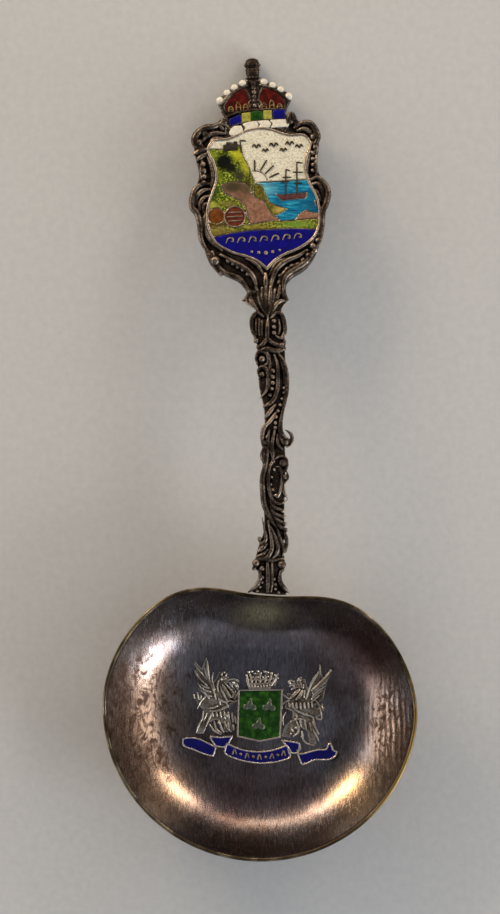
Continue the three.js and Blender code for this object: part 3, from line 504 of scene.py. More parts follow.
def strand_tubes(strands, place, height, sides=2):
    """Tapered tubes along flat strands, laid on a part's surface at a height."""
    tapered_share = 0.35          # of a strand's length, at each end
    lines = []
    for points, radius, start, end in strands:
        line = smooth_line(points, 6)
        last = len(line) - 1
        tapered = []
        for i, (x, y) in enumerate(line):
            share = i / last
            opening = start + (1 - start) * share / tapered_share
            closing = end + (1 - end) * (1 - share) / tapered_share
            tapered.append((place(x, y, height), radius * min(1, opening, closing) * MM))
        lines.append((tapered, False))
    return tubes(lines, sides)


def closed_tube(outline, radius, place, height, sides=3):
    """A round wire bent to a closed outline."""
    return tubes([([(place(x, y, height), radius * MM) for x, y in outline], True)], sides)


def piece_of(shape, name):
    """A bmesh as a piece of its own, selected alone."""
    data = bpy.data.meshes.new(name)
    shape.to_mesh(data)
    shape.free()
    piece = bpy.data.objects.new(name, data)
    bpy.context.scene.collection.objects.link(piece)
    return take(piece)


def balls(places, detail=2):
    """Small balls at places in space, of (place, radius), as one mesh."""
    shape = bmesh.new()
    for place, radius in places:
        bmesh.ops.create_icosphere(shape, subdivisions=detail, radius=radius * MM,
                                   matrix=Matrix.Translation(place))
    return piece_of(shape, "balls")


def bead_mesh(beads, place, height, detail=2):
    """Small balls laid on a part's surface at a height."""
    return balls([(place(x, y, height), radius) for x, y, radius in beads], detail)


def reshape(piece, change):
    """Moves every point of a mesh by a rule."""
    for point in piece.data.vertices:
        point.co = change(point.co.copy())
    return piece


def copy_of(node):
    """A node's solid as a clean mesh of its own: its triangles are joined and its flat faces made whole."""
    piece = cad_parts[node].copy()
    piece.data = piece.data.copy()
    piece.parent = None
    for key in list(piece.keys()):
        del piece[key]
    bpy.context.scene.collection.objects.link(piece)
    take(piece)
    bpy.ops.object.mode_set(mode="EDIT")
    bpy.ops.mesh.select_all(action="SELECT")
    bpy.ops.mesh.remove_doubles(threshold=0.002 * MM)
    bpy.ops.mesh.dissolve_limited(angle_limit=math.radians(1))
    bpy.ops.object.mode_set(mode="OBJECT")
    return piece


def mark_relief(piece, reach=14):
    """Stores each point's height over its surroundings, in millimetres: worn metal above, tarnish below.
    Reach is how many edges away its surroundings go."""
    mesh = piece.data
    count = len(mesh.vertices)
    places = np.zeros(count * 3)
    mesh.vertices.foreach_get("co", places)
    places = places.reshape(-1, 3)
    normals = np.zeros(count * 3)
    mesh.vertices.foreach_get("normal", normals)
    edges = np.zeros(len(mesh.edges) * 2, dtype=np.int64)
    mesh.edges.foreach_get("vertices", edges)
    one, other = edges.reshape(-1, 2).T
    neighbours = np.maximum(np.bincount(one, minlength=count) + np.bincount(other, minlength=count), 1)
    soft = places.copy()
    for _ in range(reach):
        total = np.zeros_like(soft)
        for axis in range(3):
            total[:, axis] = np.bincount(one, soft[other, axis], count)
            total[:, axis] += np.bincount(other, soft[one, axis], count)
        soft = 0.5 * soft + 0.5 * total / neighbours[:, None]
    height = ((places - soft) * normals.reshape(-1, 3)).sum(axis=1) / MM
    layer = mesh.attributes.new("relief", "FLOAT", "POINT")
    layer.data.foreach_set("value", height.astype(np.float32))


def cast(name, parts, grain, material, slot, *nodes, soften=3):
    """Melts overlapping shells into one casting: a fine remesh, a light smoothing, then its relief."""
    piece = join(*parts)
    apply(piece, "REMESH", mode="VOXEL", voxel_size=grain * MM, adaptivity=0.0)
    apply(piece, "SMOOTH", factor=0.5, iterations=soften)
    bpy.ops.object.shade_smooth()
    mark_relief(piece)
    return finish(piece, name, material, slot, *nodes)


def lowered(top, frame_of_part):
    """A rule that brings a part's face down to a level, to leave room for the relief on it."""
    into = frame_of_part.inverted()

    def rule(place):
        here = into @ place
        here.z = min(here.z, top * MM)
        return frame_of_part @ here
    return rule


def worked(ground, strands, beads, place, strand_level, bead_level):
    """The shells of a casting: its ground, and the strands and beads on it."""
    return [ground, strand_tubes(strands, place, strand_level, sides=3), bead_mesh(beads, place, bead_level)]


def slab(outline, place, bottom, top):
    """A flat plate with rounded edges, extruded from its outline."""
    sheet = bmesh.new()
    sheet.faces.new([sheet.verts.new(place(x, y, bottom)) for x, y in outline])
    piece = piece_of(sheet, "slab")
    up = place(0, 0, top) - place(0, 0, bottom)
    bpy.ops.object.mode_set(mode="EDIT")
    bpy.ops.mesh.select_all(action="SELECT")
    bpy.ops.mesh.extrude_region_move(TRANSFORM_OT_translate={"value": up})
    bpy.ops.mesh.select_all(action="SELECT")
    bpy.ops.mesh.normals_make_consistent(inside=False)
    bpy.ops.object.mode_set(mode="OBJECT")
    apply(piece, "BEVEL", width=0.05 * MM, segments=2, limit_method="ANGLE")
    bpy.ops.object.shade_smooth_by_angle(angle=math.radians(40))
    return piece


def fire(piece, frame_of_part, face, grow=0.05):
    """Enamel as it lies in its cell: it has run out to the walls, and its ground face keeps low waves."""
    face_depth = 0.12             # points this near the top are part of the face
    apply(piece, "REMESH", mode="VOXEL", voxel_size=ENAMEL_GRAIN * MM, adaptivity=0.0)
    apply(piece, "DISPLACE", strength=grow * MM, mid_level=0.0)
    apply(piece, "SMOOTH", factor=0.5, iterations=2)
    into = frame_of_part.inverted()
    tallest = max((into @ point.co).z for point in piece.data.vertices) / MM

    def level(place):
        here = into @ place
        if here.z / MM > tallest - face_depth:
            wave = noise.noise(Vector((here.x, here.y, 0)) / MM * 0.9)
            here.z += (face - tallest + 0.02 * wave) * MM
        return frame_of_part @ here
    take(reshape(piece, level))
    bpy.ops.object.shade_smooth()
    return piece


def fired(name, node, glass, slot, frame_of_part=FINIAL, face=ENAMEL_FACE):
    """A node's enamel, fired and finished."""
    return finish(fire(copy_of(node), frame_of_part, face), name, glass, slot, node)


# ---- finishes -----------------------------------------------------------------------------------------


def linear(code):
    """An sRGB hex colour as linear RGBA."""
    channels = [int(code[i:i + 2], 16) / 255 for i in (1, 3, 5)]
    return (*[c / 12.92 if c <= 0.04045 else ((c + 0.055) / 1.055) ** 2.4 for c in channels], 1.0)


def plug(tree, node, links):
    """Sets a node's sockets, by name or number: to a value, or to another node's output."""
    for socket, value in links.items():
        if isinstance(value, bpy.types.NodeSocket):
            tree.links.new(value, node.inputs[socket])
        else:
            node.inputs[socket].default_value = linear(value) if isinstance(value, str) else value


def add(tree, kind, settings, links):
    """Adds a node with its settings and links. Stops are a colour ramp's, of (place, colour)."""
    node = tree.nodes.new(kind)
    for name, value in settings.items():
        if name == "stops":
            ramp = node.color_ramp
            while len(ramp.elements) < len(value):
                ramp.elements.new(1.0)
            for stop, (place, code) in zip(ramp.elements, value):
                stop.position = place
                stop.color = linear(code)
        else:
            setattr(node, name, value)
    plug(tree, node, links)
    return node


def new_finish(name):
    material = bpy.data.materials.new(name)
    material.use_nodes = True
    tree = material.node_tree
    return material, tree, tree.nodes["Principled BSDF"]


def millimetres(tree):
    """The piece's own coordinates in millimetres."""
    here = add(tree, "ShaderNodeTexCoord", {}, {})
    scaled = add(tree, "ShaderNodeVectorMath", {"operation": "SCALE"},
                 {0: here.outputs["Object"], "Scale": 1 / MM})
    return scaled.outputs[0]


def spot(tree, here, place, size):
    """A soft round or oval mark at a place in metres: 1 in its middle and 0 past its size in millimetres."""
    away = add(tree, "ShaderNodeVectorMath", {"operation": "SUBTRACT"}, {0: here, 1: Vector(place) / MM})
    squashed = add(tree, "ShaderNodeVectorMath", {"operation": "DIVIDE"}, {0: away.outputs[0], 1: size})
    far = add(tree, "ShaderNodeVectorMath", {"operation": "LENGTH"}, {0: squashed.outputs[0]})
    mark = add(tree, "ShaderNodeMapRange", {"interpolation_type": "SMOOTHSTEP"},
               {"Value": far.outputs["Value"], 1: 0.0, 2: 1.0, 3: 1.0, 4: 0.0})
    return mark.outputs[0]


MIX_COLOURS = {"data_type": "RGBA"}
CLAMPED = {"use_clamp": True}


def add_marks(tree, here, colour, marks):
    """Paints soft marks, of (place, size, colour, strength), over a colour one after another."""
    for place, size, mark_colour, strength in marks:
        mark = spot(tree, here, place, size)
        worn = add(tree, "ShaderNodeMath", {"operation": "MULTIPLY", "use_clamp": True},
                   {0: mark, 1: strength})
        colour = add(tree, "ShaderNodeMix", MIX_COLOURS,
                     {0: worn.outputs[0], 6: colour, 7: mark_colour}).outputs[2]
    return colour


BOWL_MARK_DEPTH = 30              # a mark on the bowl goes right through its wall
# Where the bowl's colour differs: x, y, height, half width, half length, colour and strength. The pale beige
# marks on the left and right walls are partly toning rubbed away and partly painted reflection of the side
# lamps. The two pale marks low on the left and the right are painted highlights of the warm lamps. The last
# mark is the solder patch.
BOWL_TONING_AND_PAINTED_REFLECTIONS = [
    (-2, 8, 1, 15, 8, "#7d7e8a", 0.8), (15, 12, 5, 12, 10, "#5c4644", 0.9),
    (0, -11, 2, 20, 7, "#776567", 0.8), (0, -20, 5, 24, 6, "#574441", 0.85),
    (-18, -3, 4, 10, 17, "#b89c88", 0.95), (-13, -12, 4, 8, 7, "#c2a690", 0.9),
    (19.5, -2, 5, 6, 14, "#a28d7c", 0.85), (15, -9, 4, 6, 6, "#c8ad90", 0.8),
    (-1, 16, 3, 7.4, 3.6, "#95917a", 1.2),
]


def burnished_silver():
    """Sterling silver, raised and burnished, then rubbed and toned for a century. It gives the eye a dark
    mirror with fine scratches along the spoon, brown toning that is half polished off the left wall, and pale
    marks on its walls that are painted reflections and highlights of the lamps."""
    material, tree, shader = new_finish("burnished_sterling_silver")
    here = millimetres(tree)
    # Scratches are some 0.02 mm wide; they are drawn several times as coarse, or they wouldn't show.
    along = add(tree, "ShaderNodeMapping", {}, {0: here, "Scale": (6.0, 0.7, 1.0)})
    scratches = add(tree, "ShaderNodeTexNoise", {}, {0: along.outputs[0], "Scale": 1.0, "Detail": 5.0,
                                                     "Roughness": 0.62, "Distortion": 1.1})
    fine = add(tree, "ShaderNodeValToRGB", {"stops": [(0.36, "#3c3c3c"), (0.66, "#d8d8d8")]},
               {0: scratches.outputs[0]})
    clouds = add(tree, "ShaderNodeTexNoise", {}, {0: here, "Scale": 0.16, "Detail": 5.0, "Roughness": 0.6})
    toning = add(tree, "ShaderNodeValToRGB",
                 {"stops": [(0.34, "#574c4e"), (0.5, "#776f72"), (0.66, "#8d8b94")]}, {0: clouds.outputs[0]})
    # Lays the bowl's marks over the toning, among them painted lamp reflections on the walls and painted
    # highlights low on either side.
    colour = add_marks(tree, here, toning.outputs[0], [
        (on_bowl(x, y, height), (wide, long, BOWL_MARK_DEPTH), mark_colour, strength)
        for x, y, height, wide, long, mark_colour, strength in BOWL_TONING_AND_PAINTED_REFLECTIONS])
    # Toning comes off in ragged flecks of a millimetre or two, drawn out by the polishing cloth.
    rubbed = add(tree, "ShaderNodeMapping", {}, {0: here, "Scale": (0.85, 0.5, 0.4),
                                                 "Rotation": (0, 0, math.radians(-24))})
    flecks = add(tree, "ShaderNodeTexNoise", {}, {0: rubbed.outputs[0], "Scale": 1.0, "Detail": 7.0,
                                                  "Roughness": 0.8, "Distortion": 0.8})
    on_left = spot(tree, here, on_bowl(-19, -3, 4), (11, 19, 40))
    on_right = spot(tree, here, on_bowl(20.5, 0, 5), (6, 13, 40))
    walls = add(tree, "ShaderNodeMath", {"operation": "MAXIMUM"}, {0: on_left, 1: on_right})
    cut = add(tree, "ShaderNodeMapRange", {}, {"Value": walls.outputs[0], 1: 0.0, 2: 0.6, 3: 0.63, 4: 0.5})
    over = add(tree, "ShaderNodeMath", {"operation": "SUBTRACT"}, {0: flecks.outputs[0], 1: cut.outputs[0]})
    tarnish = add(tree, "ShaderNodeMapRange", {},
                  {"Value": over.outputs[0], 1: -0.04, 2: 0.05, 3: 0.0, 4: 0.9})
    flecked = add(tree, "ShaderNodeMix", MIX_COLOURS, {0: tarnish.outputs[0], 6: colour, 7: "#46322a"})
    scratched = add(tree, "ShaderNodeMix", {"data_type": "RGBA", "blend_type": "OVERLAY"},
                    {0: 0.55, 6: flecked.outputs[2], 7: fine.outputs[0]})
    dull = add(tree, "ShaderNodeMapRange", {},
               {"Value": tarnish.outputs[0], 1: 0.0, 2: 0.85, 3: 0.0, 4: 0.22})
    hazy = add(tree, "ShaderNodeMapRange", {},
               {"Value": scratches.outputs[0], 1: 0.3, 2: 0.7, 3: 0.18, 4: 0.3})
    rough = add(tree, "ShaderNodeMath", CLAMPED, {0: dull.outputs[0], 1: hazy.outputs[0]})
    # The solder that holds the stem has left a matt patch on the wall under it.
    solder = spot(tree, here, on_bowl(-1, 16, 3), (7.4, 3.6, 30))
    matt = add(tree, "ShaderNodeMath", {"operation": "MULTIPLY_ADD", "use_clamp": True},
               {0: solder, 1: 0.45, 2: rough.outputs[0]})
    # The right wall keeps faint rows from the raising, some 0.75 mm apart.
    rows = add(tree, "ShaderNodeTexWave", {"bands_direction": "X"},
               {0: here, "Scale": 0.42, "Distortion": 7.0, "Detail": 2.0, "Detail Scale": 0.3})
    steep = add(tree, "ShaderNodeMath", {"operation": "MULTIPLY"}, {0: rows.outputs["Fac"], 1: on_right})
    waves = add(tree, "ShaderNodeBump", {},
                {"Strength": 0.7, "Distance": 0.06 * MM, "Height": steep.outputs[0]})
    marks = add(tree, "ShaderNodeBump", {}, {"Strength": 0.5, "Distance": 0.025 * MM,
                                             "Height": scratches.outputs[0], "Normal": waves.outputs[0]})
    pits = add(tree, "ShaderNodeBump", {}, {"Strength": 0.4, "Distance": 0.02 * MM,
                                            "Height": flecks.outputs[0], "Normal": marks.outputs[0]})
    plug(tree, shader, {"Base Color": scratched.outputs[2], "Metallic": 1.0, "Roughness": matt.outputs[0],
                        "Normal": pits.outputs[0]})
    return material


def gilt_worn_wire():
    """Drawn silver wire with its old gilding worn thin. It gives the eye a fine line that is bright on top,
    yellow on the right and brown in its scratches."""
    material, tree, shader = new_finish("worn_parcel_gilt_wire")
    here = millimetres(tree)
    wear = add(tree, "ShaderNodeTexNoise", {}, {0: here, "Scale": 0.22, "Detail": 4.0, "Roughness": 0.55})
    tone = add(tree, "ShaderNodeValToRGB",
               {"stops": [(0.36, "#221b14"), (0.52, "#574c3b"), (0.68, "#a3967e")]}, {0: wear.outputs[0]})
    # More of the gilding is left on the right.
    colour = add_marks(tree, here, tone.outputs[0], [(on_bowl(23, -4, 8), (11, 17, 40), "#a88c52", 0.6)])
    rough = add(tree, "ShaderNodeMapRange", {}, {"Value": wear.outputs[0], 1: 0.3, 2: 0.7, 3: 0.42, 4: 0.2})
    nicks = add(tree, "ShaderNodeTexNoise", {}, {0: here, "Scale": 3.0, "Detail": 3.0})
    bump = add(tree, "ShaderNodeBump", {},
               {"Strength": 0.4, "Distance": 0.03 * MM, "Height": nicks.outputs[0]})
    plug(tree, shader, {"Base Color": colour, "Metallic": 1.0, "Roughness": rough.outputs[0],
                        "Normal": bump.outputs[0]})
    return material


def cast_silver(name, hollow, field, crest, low, high):
    """Sand-cast silver, chased, oxidised and then wiped. It gives the eye black-brown hollows, a toned field
    and crests that hands have polished. Low and high are the relief, in millimetres, of the two ends."""
    material, tree, shader = new_finish(name)
    here = millimetres(tree)
    relief = add(tree, "ShaderNodeAttribute", {"attribute_name": "relief"}, {})
    # The cast skin's grain is some 0.1 mm; it is drawn at 0.25 mm and finer, to show.
    grain = add(tree, "ShaderNodeTexNoise", {}, {0: here, "Scale": 4.0, "Detail": 5.0, "Roughness": 0.6})
    patches = add(tree, "ShaderNodeTexNoise", {}, {0: here, "Scale": 0.5, "Detail": 3.0})
    uneven = add(tree, "ShaderNodeMath", {"operation": "ADD"}, {0: grain.outputs[0], 1: patches.outputs[0]})
    shift = add(tree, "ShaderNodeMapRange", {}, {"Value": uneven.outputs[0], 1: 0.7, 2: 1.3, 3: -0.2, 4: 0.2})
    share = add(tree, "ShaderNodeMapRange", {},
                {"Value": relief.outputs["Fac"], 1: low, 2: high, 3: 0.0, 4: 1.0})
    worn = add(tree, "ShaderNodeMath", CLAMPED, {0: share.outputs[0], 1: shift.outputs[0]})
    colour = add(tree, "ShaderNodeValToRGB", {"stops": [(0.12, hollow), (0.45, field), (0.85, crest)]},
                 {0: worn.outputs[0]})
    rough = add(tree, "ShaderNodeMapRange", {}, {"Value": worn.outputs[0], 1: 0.1, 2: 0.9, 3: 0.55, 4: 0.22})
    bump = add(tree, "ShaderNodeBump", {},
               {"Strength": 0.5, "Distance": 0.04 * MM, "Height": grain.outputs[0]})
    plug(tree, shader, {"Base Color": colour.outputs[0], "Metallic": 1.0, "Roughness": rough.outputs[0],
                        "Normal": bump.outputs[0]})
    return material


def line_silver(name, dull, clean):
    """Silver wire and wall tops ground level with the enamel. They give the eye fine soft-grey lines."""
    material, tree, shader = new_finish(name)
    here = millimetres(tree)
    wear = add(tree, "ShaderNodeTexNoise", {}, {0: here, "Scale": 1.6, "Detail": 4.0})
    colour = add(tree, "ShaderNodeValToRGB", {"stops": [(0.3, dull), (0.7, clean)]}, {0: wear.outputs[0]})
    rough = add(tree, "ShaderNodeMapRange", {}, {"Value": wear.outputs[0], 1: 0.3, 2: 0.7, 3: 0.45, 4: 0.28})
    plug(tree, shader, {"Base Color": colour.outputs[0], "Metallic": 1.0, "Roughness": rough.outputs[0]})
    return material


GLASS_IOR = 1.52
MARK_HEIGHT, MARK_DEPTH = 0.8, 6  # of the marks on the finial's enamels


def on_enamel(*rows):
    """Marks on the finial's enamels, from x, y, half width, half height, colour and strength."""
    return [(on_finial(x, y, MARK_HEIGHT), (wide, tall, MARK_DEPTH), colour, strength)
            for x, y, wide, tall, colour, strength in rows]


def enamel(name, stops, grain, stretch=(1, 1, 1), marks=(), ground=0.0, depth=0.02):
    """Vitreous enamel, fired and polished: ground glass over silver. It gives the eye a deep glassy colour
    that is uneven where the powder lay thick or thin. Stops are its shades, and grain the size of their
    patches in millimetres; ground is how much of the silver underneath shines through, and depth how deep
    the face's waves go."""
    material, tree, shader = new_finish(name)
    here = millimetres(tree)
    laid = add(tree, "ShaderNodeMapping", {}, {0: here, "Scale": stretch})
    powder = add(tree, "ShaderNodeTexNoise", {}, {0: laid.outputs[0], "Scale": 1 / grain, "Detail": 5.0,
                                                  "Roughness": 0.6})
    shades = add(tree, "ShaderNodeValToRGB", {"stops": stops}, {0: powder.outputs[0]})
    colour = add_marks(tree, here, shades.outputs[0], marks)
    # Polishing leaves low waves, and pits where bubbles burst.
    waves = add(tree, "ShaderNodeTexNoise", {}, {0: here, "Scale": 1.1, "Detail": 2.0})
    bump = add(tree, "ShaderNodeBump", {},
               {"Strength": 0.5, "Distance": depth * MM, "Height": waves.outputs[0]})
    rough = add(tree, "ShaderNodeBump", {}, {"Strength": 0.4, "Distance": depth * MM,
                                             "Height": powder.outputs[0], "Normal": bump.outputs[0]})
    plug(tree, shader, {"Base Color": colour, "Metallic": ground, "Roughness": 0.3, "IOR": GLASS_IOR,
                        "Specular IOR Level": 0.25, "Coat Weight": 0.15, "Coat Roughness": 0.08,
                        "Coat IOR": GLASS_IOR, "Normal": rough.outputs[0]})
    return material


# ---- bowl ---------------------------------------------------------------------------------------------


def lip_place(turn):
    """The lip's outline at a turn about its middle."""
    across, along = math.cos(turn), math.sin(turn)
    if along <= 0:
        return BOWL_HALF_WIDTH * across, BOWL_BACK_REACH * along
    power = 2 / BOWL_SHOULDER_POWER
    x = BOWL_HALF_WIDTH * math.copysign(abs(across) ** power, across)
    dip = math.exp(-(((x - DIP_SIDE) / DIP_SPREAD) ** 2)) - math.exp(-((BOWL_HALF_WIDTH / DIP_SPREAD) ** 2))
    return x, (BOWL_SHOULDER_REACH + SHOULDER_LEAN * x) * along**power - DIP_DEPTH * dip


def bowl_place(share, turn, height):
    """A place on the bowl at a share of its radius: an oval at the base that grows into the lip's shape."""
    lip_x, lip_y = lip_place(turn)
    grown = min(share, 1)
    blend = grown * grown * (3 - 2 * grown)
    x = BOWL_HALF_WIDTH * math.cos(turn) * (1 - blend) + lip_x * blend
    y = ROUND_REACH * math.sin(turn) * (1 - blend) + lip_y * blend
    return on_bowl(share * (x + LIP_SIDE_SHIFT), share * (y + LIP_SHIFT), height)


def bowl_profile():
    """The bowl's section, from the middle of its back to the middle of its inside, as (share, height)."""
    flat_steps, wall_steps = 10, 40
    deep = LIP_HEIGHT - BOWL_WALL
    inside = [(BASE_SHARE * i / flat_steps, BOWL_WALL) for i in range(flat_steps + 1)]
    outside = [(BASE_SHARE * i / flat_steps, 0.0) for i in range(flat_steps + 1)]
    for i in range(1, wall_steps + 1):
        climb = i / wall_steps
        share = BASE_SHARE + (1 - BASE_SHARE) * climb
        inside.append((share, BOWL_WALL + deep * climb**2))
        rise = 2 * deep * climb / ((1 - BASE_SHARE) * BOWL_HALF_WIDTH)
        long = math.hypot(1, rise)
        out = share + BOWL_WALL * rise / (long * BOWL_HALF_WIDTH)
        outside.append((out, BOWL_WALL * (1 - 1 / long) + deep * climb**2))
    # The lip is rounded over from its outer edge.
    edge = outside[-1][0]
    thick = edge - 1
    outside[-1] = (edge, LIP_HEIGHT - 0.4)
    lip = [(edge, LIP_HEIGHT - 0.15), (edge - 0.25 * thick, LIP_HEIGHT), (1 + 0.3 * thick, LIP_HEIGHT)]
    return outside + lip + inside[::-1]


def around(share, height):
    """Points around the bowl at a share of its radius."""
    return [bowl_place(share, 2 * math.pi * i / BOWL_SIDES, height) for i in range(BOWL_SIDES)]


def make_bowl():
    """The bowl as one closed shell, with rings of points that follow its section around."""
    profile = bowl_profile()
    shell = bmesh.new()
    rows = [[shell.verts.new(place) for place in around(share, height)] for share, height in profile[1:-1]]
    for lower, upper in zip(rows, rows[1:]):
        for i in range(BOWL_SIDES):
            after = (i + 1) % BOWL_SIDES
            shell.faces.new((lower[i], lower[after], upper[after], upper[i]))
    for ring, (_, height) in ((rows[0], profile[0]), (rows[-1], profile[-1])):
        pole = shell.verts.new(on_bowl(0, 0, height))
        for i in range(BOWL_SIDES):
            shell.faces.new((ring[i], ring[(i + 1) % BOWL_SIDES], pole))
    bmesh.ops.recalc_face_normals(shell, faces=shell.faces)
    piece = piece_of(shell, "bowl")
    bpy.ops.object.shade_smooth_by_angle(angle=math.radians(40))
    return piece


finish(make_bowl(), "silver_bowl", burnished_silver(), "silver_bowl", "bowl")

wire_share = 1 + 0.55 * BOWL_WALL / BOWL_HALF_WIDTH
wire_line = [(place, WIRE_RADIUS * MM) for place in around(wire_share, LIP_HEIGHT + WIRE_RISE)]
lip_wire = tubes([(wire_line, True)], sides=4)
bpy.ops.object.shade_smooth()
finish(lip_wire, "lip_wire", gilt_worn_wire(), "brassy_rim", "bowl_edge_wire")

# ---- stem ---------------------------------------------------------------------------------------------


def thin_stem(place):
    """The plain blank under the stem's scrolls: half as thick as the finished stem and a little narrower."""
    middle = stem_height(place.y / MM)
    x = STEM_MIDDLE + (place.x / MM - STEM_MIDDLE) * 0.86
    return Vector((x, place.y / MM, middle + 0.55 * (place.z / MM - middle) - 0.2)) * MM


def on_stem_back(x, y, height):
    """A place on the stem's back, which is flat under its rounded face."""
    return on_stem(x, y) + Vector((0, 0, height * MM))


dark_cast = cast_silver("oxidised_cast_silver", "#0f0c0b", "#3e3630", "#b8aa9c", -0.08, 0.15)
# The beasts' silver is a lighter copy of the cast silver: its pale field and near-white crests are partly
# polished wear and partly painted sheen for the lamps that the beasts' curved strokes catch.
beast_cast_with_painted_sheen = cast_silver("chased_cast_silver_with_painted_sheen", "#231c17", "#92867a", "#fffaf0", -0.055, 0.07)
charge_cast = cast_silver("dulled_charge_silver", "#2b3128", "#6b7665", "#9aa492", -0.08, 0.1)
tray_cast = cast_silver("ground_tray_silver", "#2b2420", "#6f645b", "#c0b3a2", -0.06, 0.1)
bright_cast = cast_silver("wiped_cast_silver", "#2b221d", "#94877c", "#ece4d8", -0.07, 0.06)
lines = line_silver("ground_line_silver", "#6d6053", "#b0a48f")
gilt_lines = line_silver("worn_gilt_line", "#57472b", "#a58f60")
dark_lines = line_silver("oxidised_line_silver", "#2a2620", "#5a5246")

blank = reshape(copy_of("stem"), thin_stem)
front = worked(blank, STEM_STRANDS, STEM_BEADS, on_stem, STEM_RELIEF, STEM_RELIEF)
back_strands = [(points, radius * 0.9, start, end) for points, radius, start, end in STEM_STRANDS]
back = strand_tubes(back_strands, on_stem_back, STEM_BACK_RELIEF)
cast("cast_stem", [*front, back], STEM_GRAIN, dark_cast, "cast_silver", "stem")

# ---- cartouche ----------------------------------------------------------------------------------------

ground = reshape(copy_of("cartouche"), lowered(CARTOUCHE_GROUND, FINIAL))
cast("cast_cartouche", worked(ground, CARTOUCHE_STRANDS, CARTOUCHE_BEADS, on_finial, CARTOUCHE_RELIEF,
                              CARTOUCHE_RELIEF), CARTOUCHE_GRAIN, dark_cast, "cast_silver", "cartouche")

# ---- enamelled shield ---------------------------------------------------------------------------------

# The right half of the shield's edge, from its top to its point.
shield_half = smooth_line([
    (0, 10.2), (1.8, 9.9), (3.2, 9.3), (4.8, 8.8), (6.8, 8.7), (7.7, 7.3), (6.9, 5.2), (6.65, 3.0),
    (7.3, 1.0), (8.2, -1.2), (8.4, -4.2), (7.4, -6.9), (5.0, -8.6), (3.0, -9.3), (1.3, -10.2), (0, -11.4)], 4)
shield_edge = [(x, y) for x, y in shield_half] + [(-x, y) for x, y in shield_half[::-1] if x > 0.001]
tray_rim = closed_tube(shield_edge, 0.19, on_finial, TRAY_RIM_LEVEL)
cast("shield_tray_walls", [copy_of("shield_tray"), tray_rim], TRAY_GRAIN, tray_cast, "silver_trim",
     "shield_tray", soften=2)

opaque_cream = enamel("opaque_cream_enamel", [(0.34, "#a9a792"), (0.46, "#d3d4c2"), (0.62, "#e9eadd")], 0.26,
                      depth=0.03)
opaque_white = enamel("opaque_white_enamel", [(0.3, "#c6c4b5"), (0.6, "#e2e2d8")], 0.5)
sea_glass = enamel("turquoise_enamel",
                   [(0.3, "#05476e"), (0.48, "#0d78a6"), (0.6, "#2da3c6"), (0.72, "#86d6e4")],
                   0.8, stretch=(0.4, 2.4, 1), ground=0.15,
                   marks=on_enamel((0.2, 0.8, 3.2, 1.8, "#86d2e0", 0.5),
                                   (7.2, -2.6, 3.0, 3.4, "#084b70", 0.7)))
meadow = enamel("grass_green_enamel",
                [(0.37, "#131f07"), (0.46, "#3b4e10"), (0.55, "#788b25"), (0.65, "#cbd352")],
                0.3, ground=0.15, marks=on_enamel(
                    (-3.1, 6.4, 2.0, 1.6, "#c9cc2f", 0.8), (-2.3, 4.6, 1.1, 2.2, "#bdbb32", 0.7),
                    (-7.2, 6.4, 2.0, 1.2, "#8ea52c", 0.7), (-5.4, 5.3, 2.0, 1.9, "#070c03", 1.7),
                    (-4.4, 4.3, 1.6, 1.3, "#14160a", 1.2), (-6.4, 3.0, 1.6, 1.2, "#6f8420", 0.7),
                    (-3.2, 3.0, 1.3, 1.5, "#3a3726", 1.2), (-7.2, 0.9, 1.4, 2.4, "#30480f", 0.9),
                    (-2.0, 2.0, 0.9, 1.4, "#4a3f12", 1.1), (-1.5, -0.4, 0.9, 1.6, "#5b4c14", 0.9),
                    (-5.0, -1.2, 2.2, 1.0, "#7d7638", 0.8), (-7.4, -1.4, 1.4, 1.0, "#b9bb52", 0.8)))
headland_glass = enamel("olive_enamel", [(0.3, "#34330f"), (0.5, "#5f5c1c"), (0.7, "#8b8434")], 0.36,
                        ground=0.15, marks=on_enamel((2.6, -2.6, 1.8, 0.9, "#c2b256", 0.9)))
shore_glass = enamel("lime_green_enamel", [(0.38, "#2f3a10"), (0.5, "#6c7424"), (0.62, "#b5b84f")], 0.3,
                     ground=0.15,
                     marks=on_enamel((-6.5, -5.6, 4.0, 1.5, "#7a6a35", 0.9),
                                     (-1.0, -5.0, 3.0, 0.5, "#8d8038", 0.8),
                                     (4.8, -5.0, 3.8, 1.0, "#6f9a36", 0.9)))
earth_glass = enamel("mauve_brown_enamel", [(0.3, "#6d4f40"), (0.5, "#8d6854"), (0.7, "#a98672")], 0.5,
                     ground=0.1,
                     marks=on_enamel((-4.3, 1.4, 3.4, 1.7, "#443d2a", 1.15),
                                     (-2.2, 0.9, 1.4, 1.6, "#54482f", 1.0),
                                     (-3.2, -0.6, 1.3, 0.9, "#665440", 0.9)))
deep_blue = enamel("ultramarine_enamel", [(0.3, "#020158"), (0.55, "#040276"), (0.75, "#0a0692")], 1.2)
ribbon_blue = enamel("dark_ultramarine_enamel", [(0.3, "#01014a"), (0.55, "#020266"), (0.75, "#06068c")], 1.0)
amber_glass = enamel("amber_enamel", [(0.3, "#4c2a0a"), (0.55, "#734012"), (0.75, "#96611f")], 0.6,
                     ground=0.2)
brick_glass = enamel("brick_red_enamel", [(0.3, "#4c2214"), (0.55, "#6f3220"), (0.75, "#8a4a33")], 0.6,
                     ground=0.15)
castle_glass = enamel("charcoal_enamel", [(0.3, "#1d1a17"), (0.6, "#38332e")], 0.5)
hull_glass = enamel("maroon_enamel", [(0.3, "#3a2224"), (0.6, "#633b3a")], 0.5)
bank_glass = enamel("brown_green_enamel", [(0.34, "#2c260a"), (0.5, "#5b4e18"), (0.66, "#7b7a2b")], 0.36)
ruby_glass = enamel("crimson_enamel", [(0.3, "#250301"), (0.5, "#440803"), (0.72, "#6b1a08")], 0.8,
                    ground=0.15)
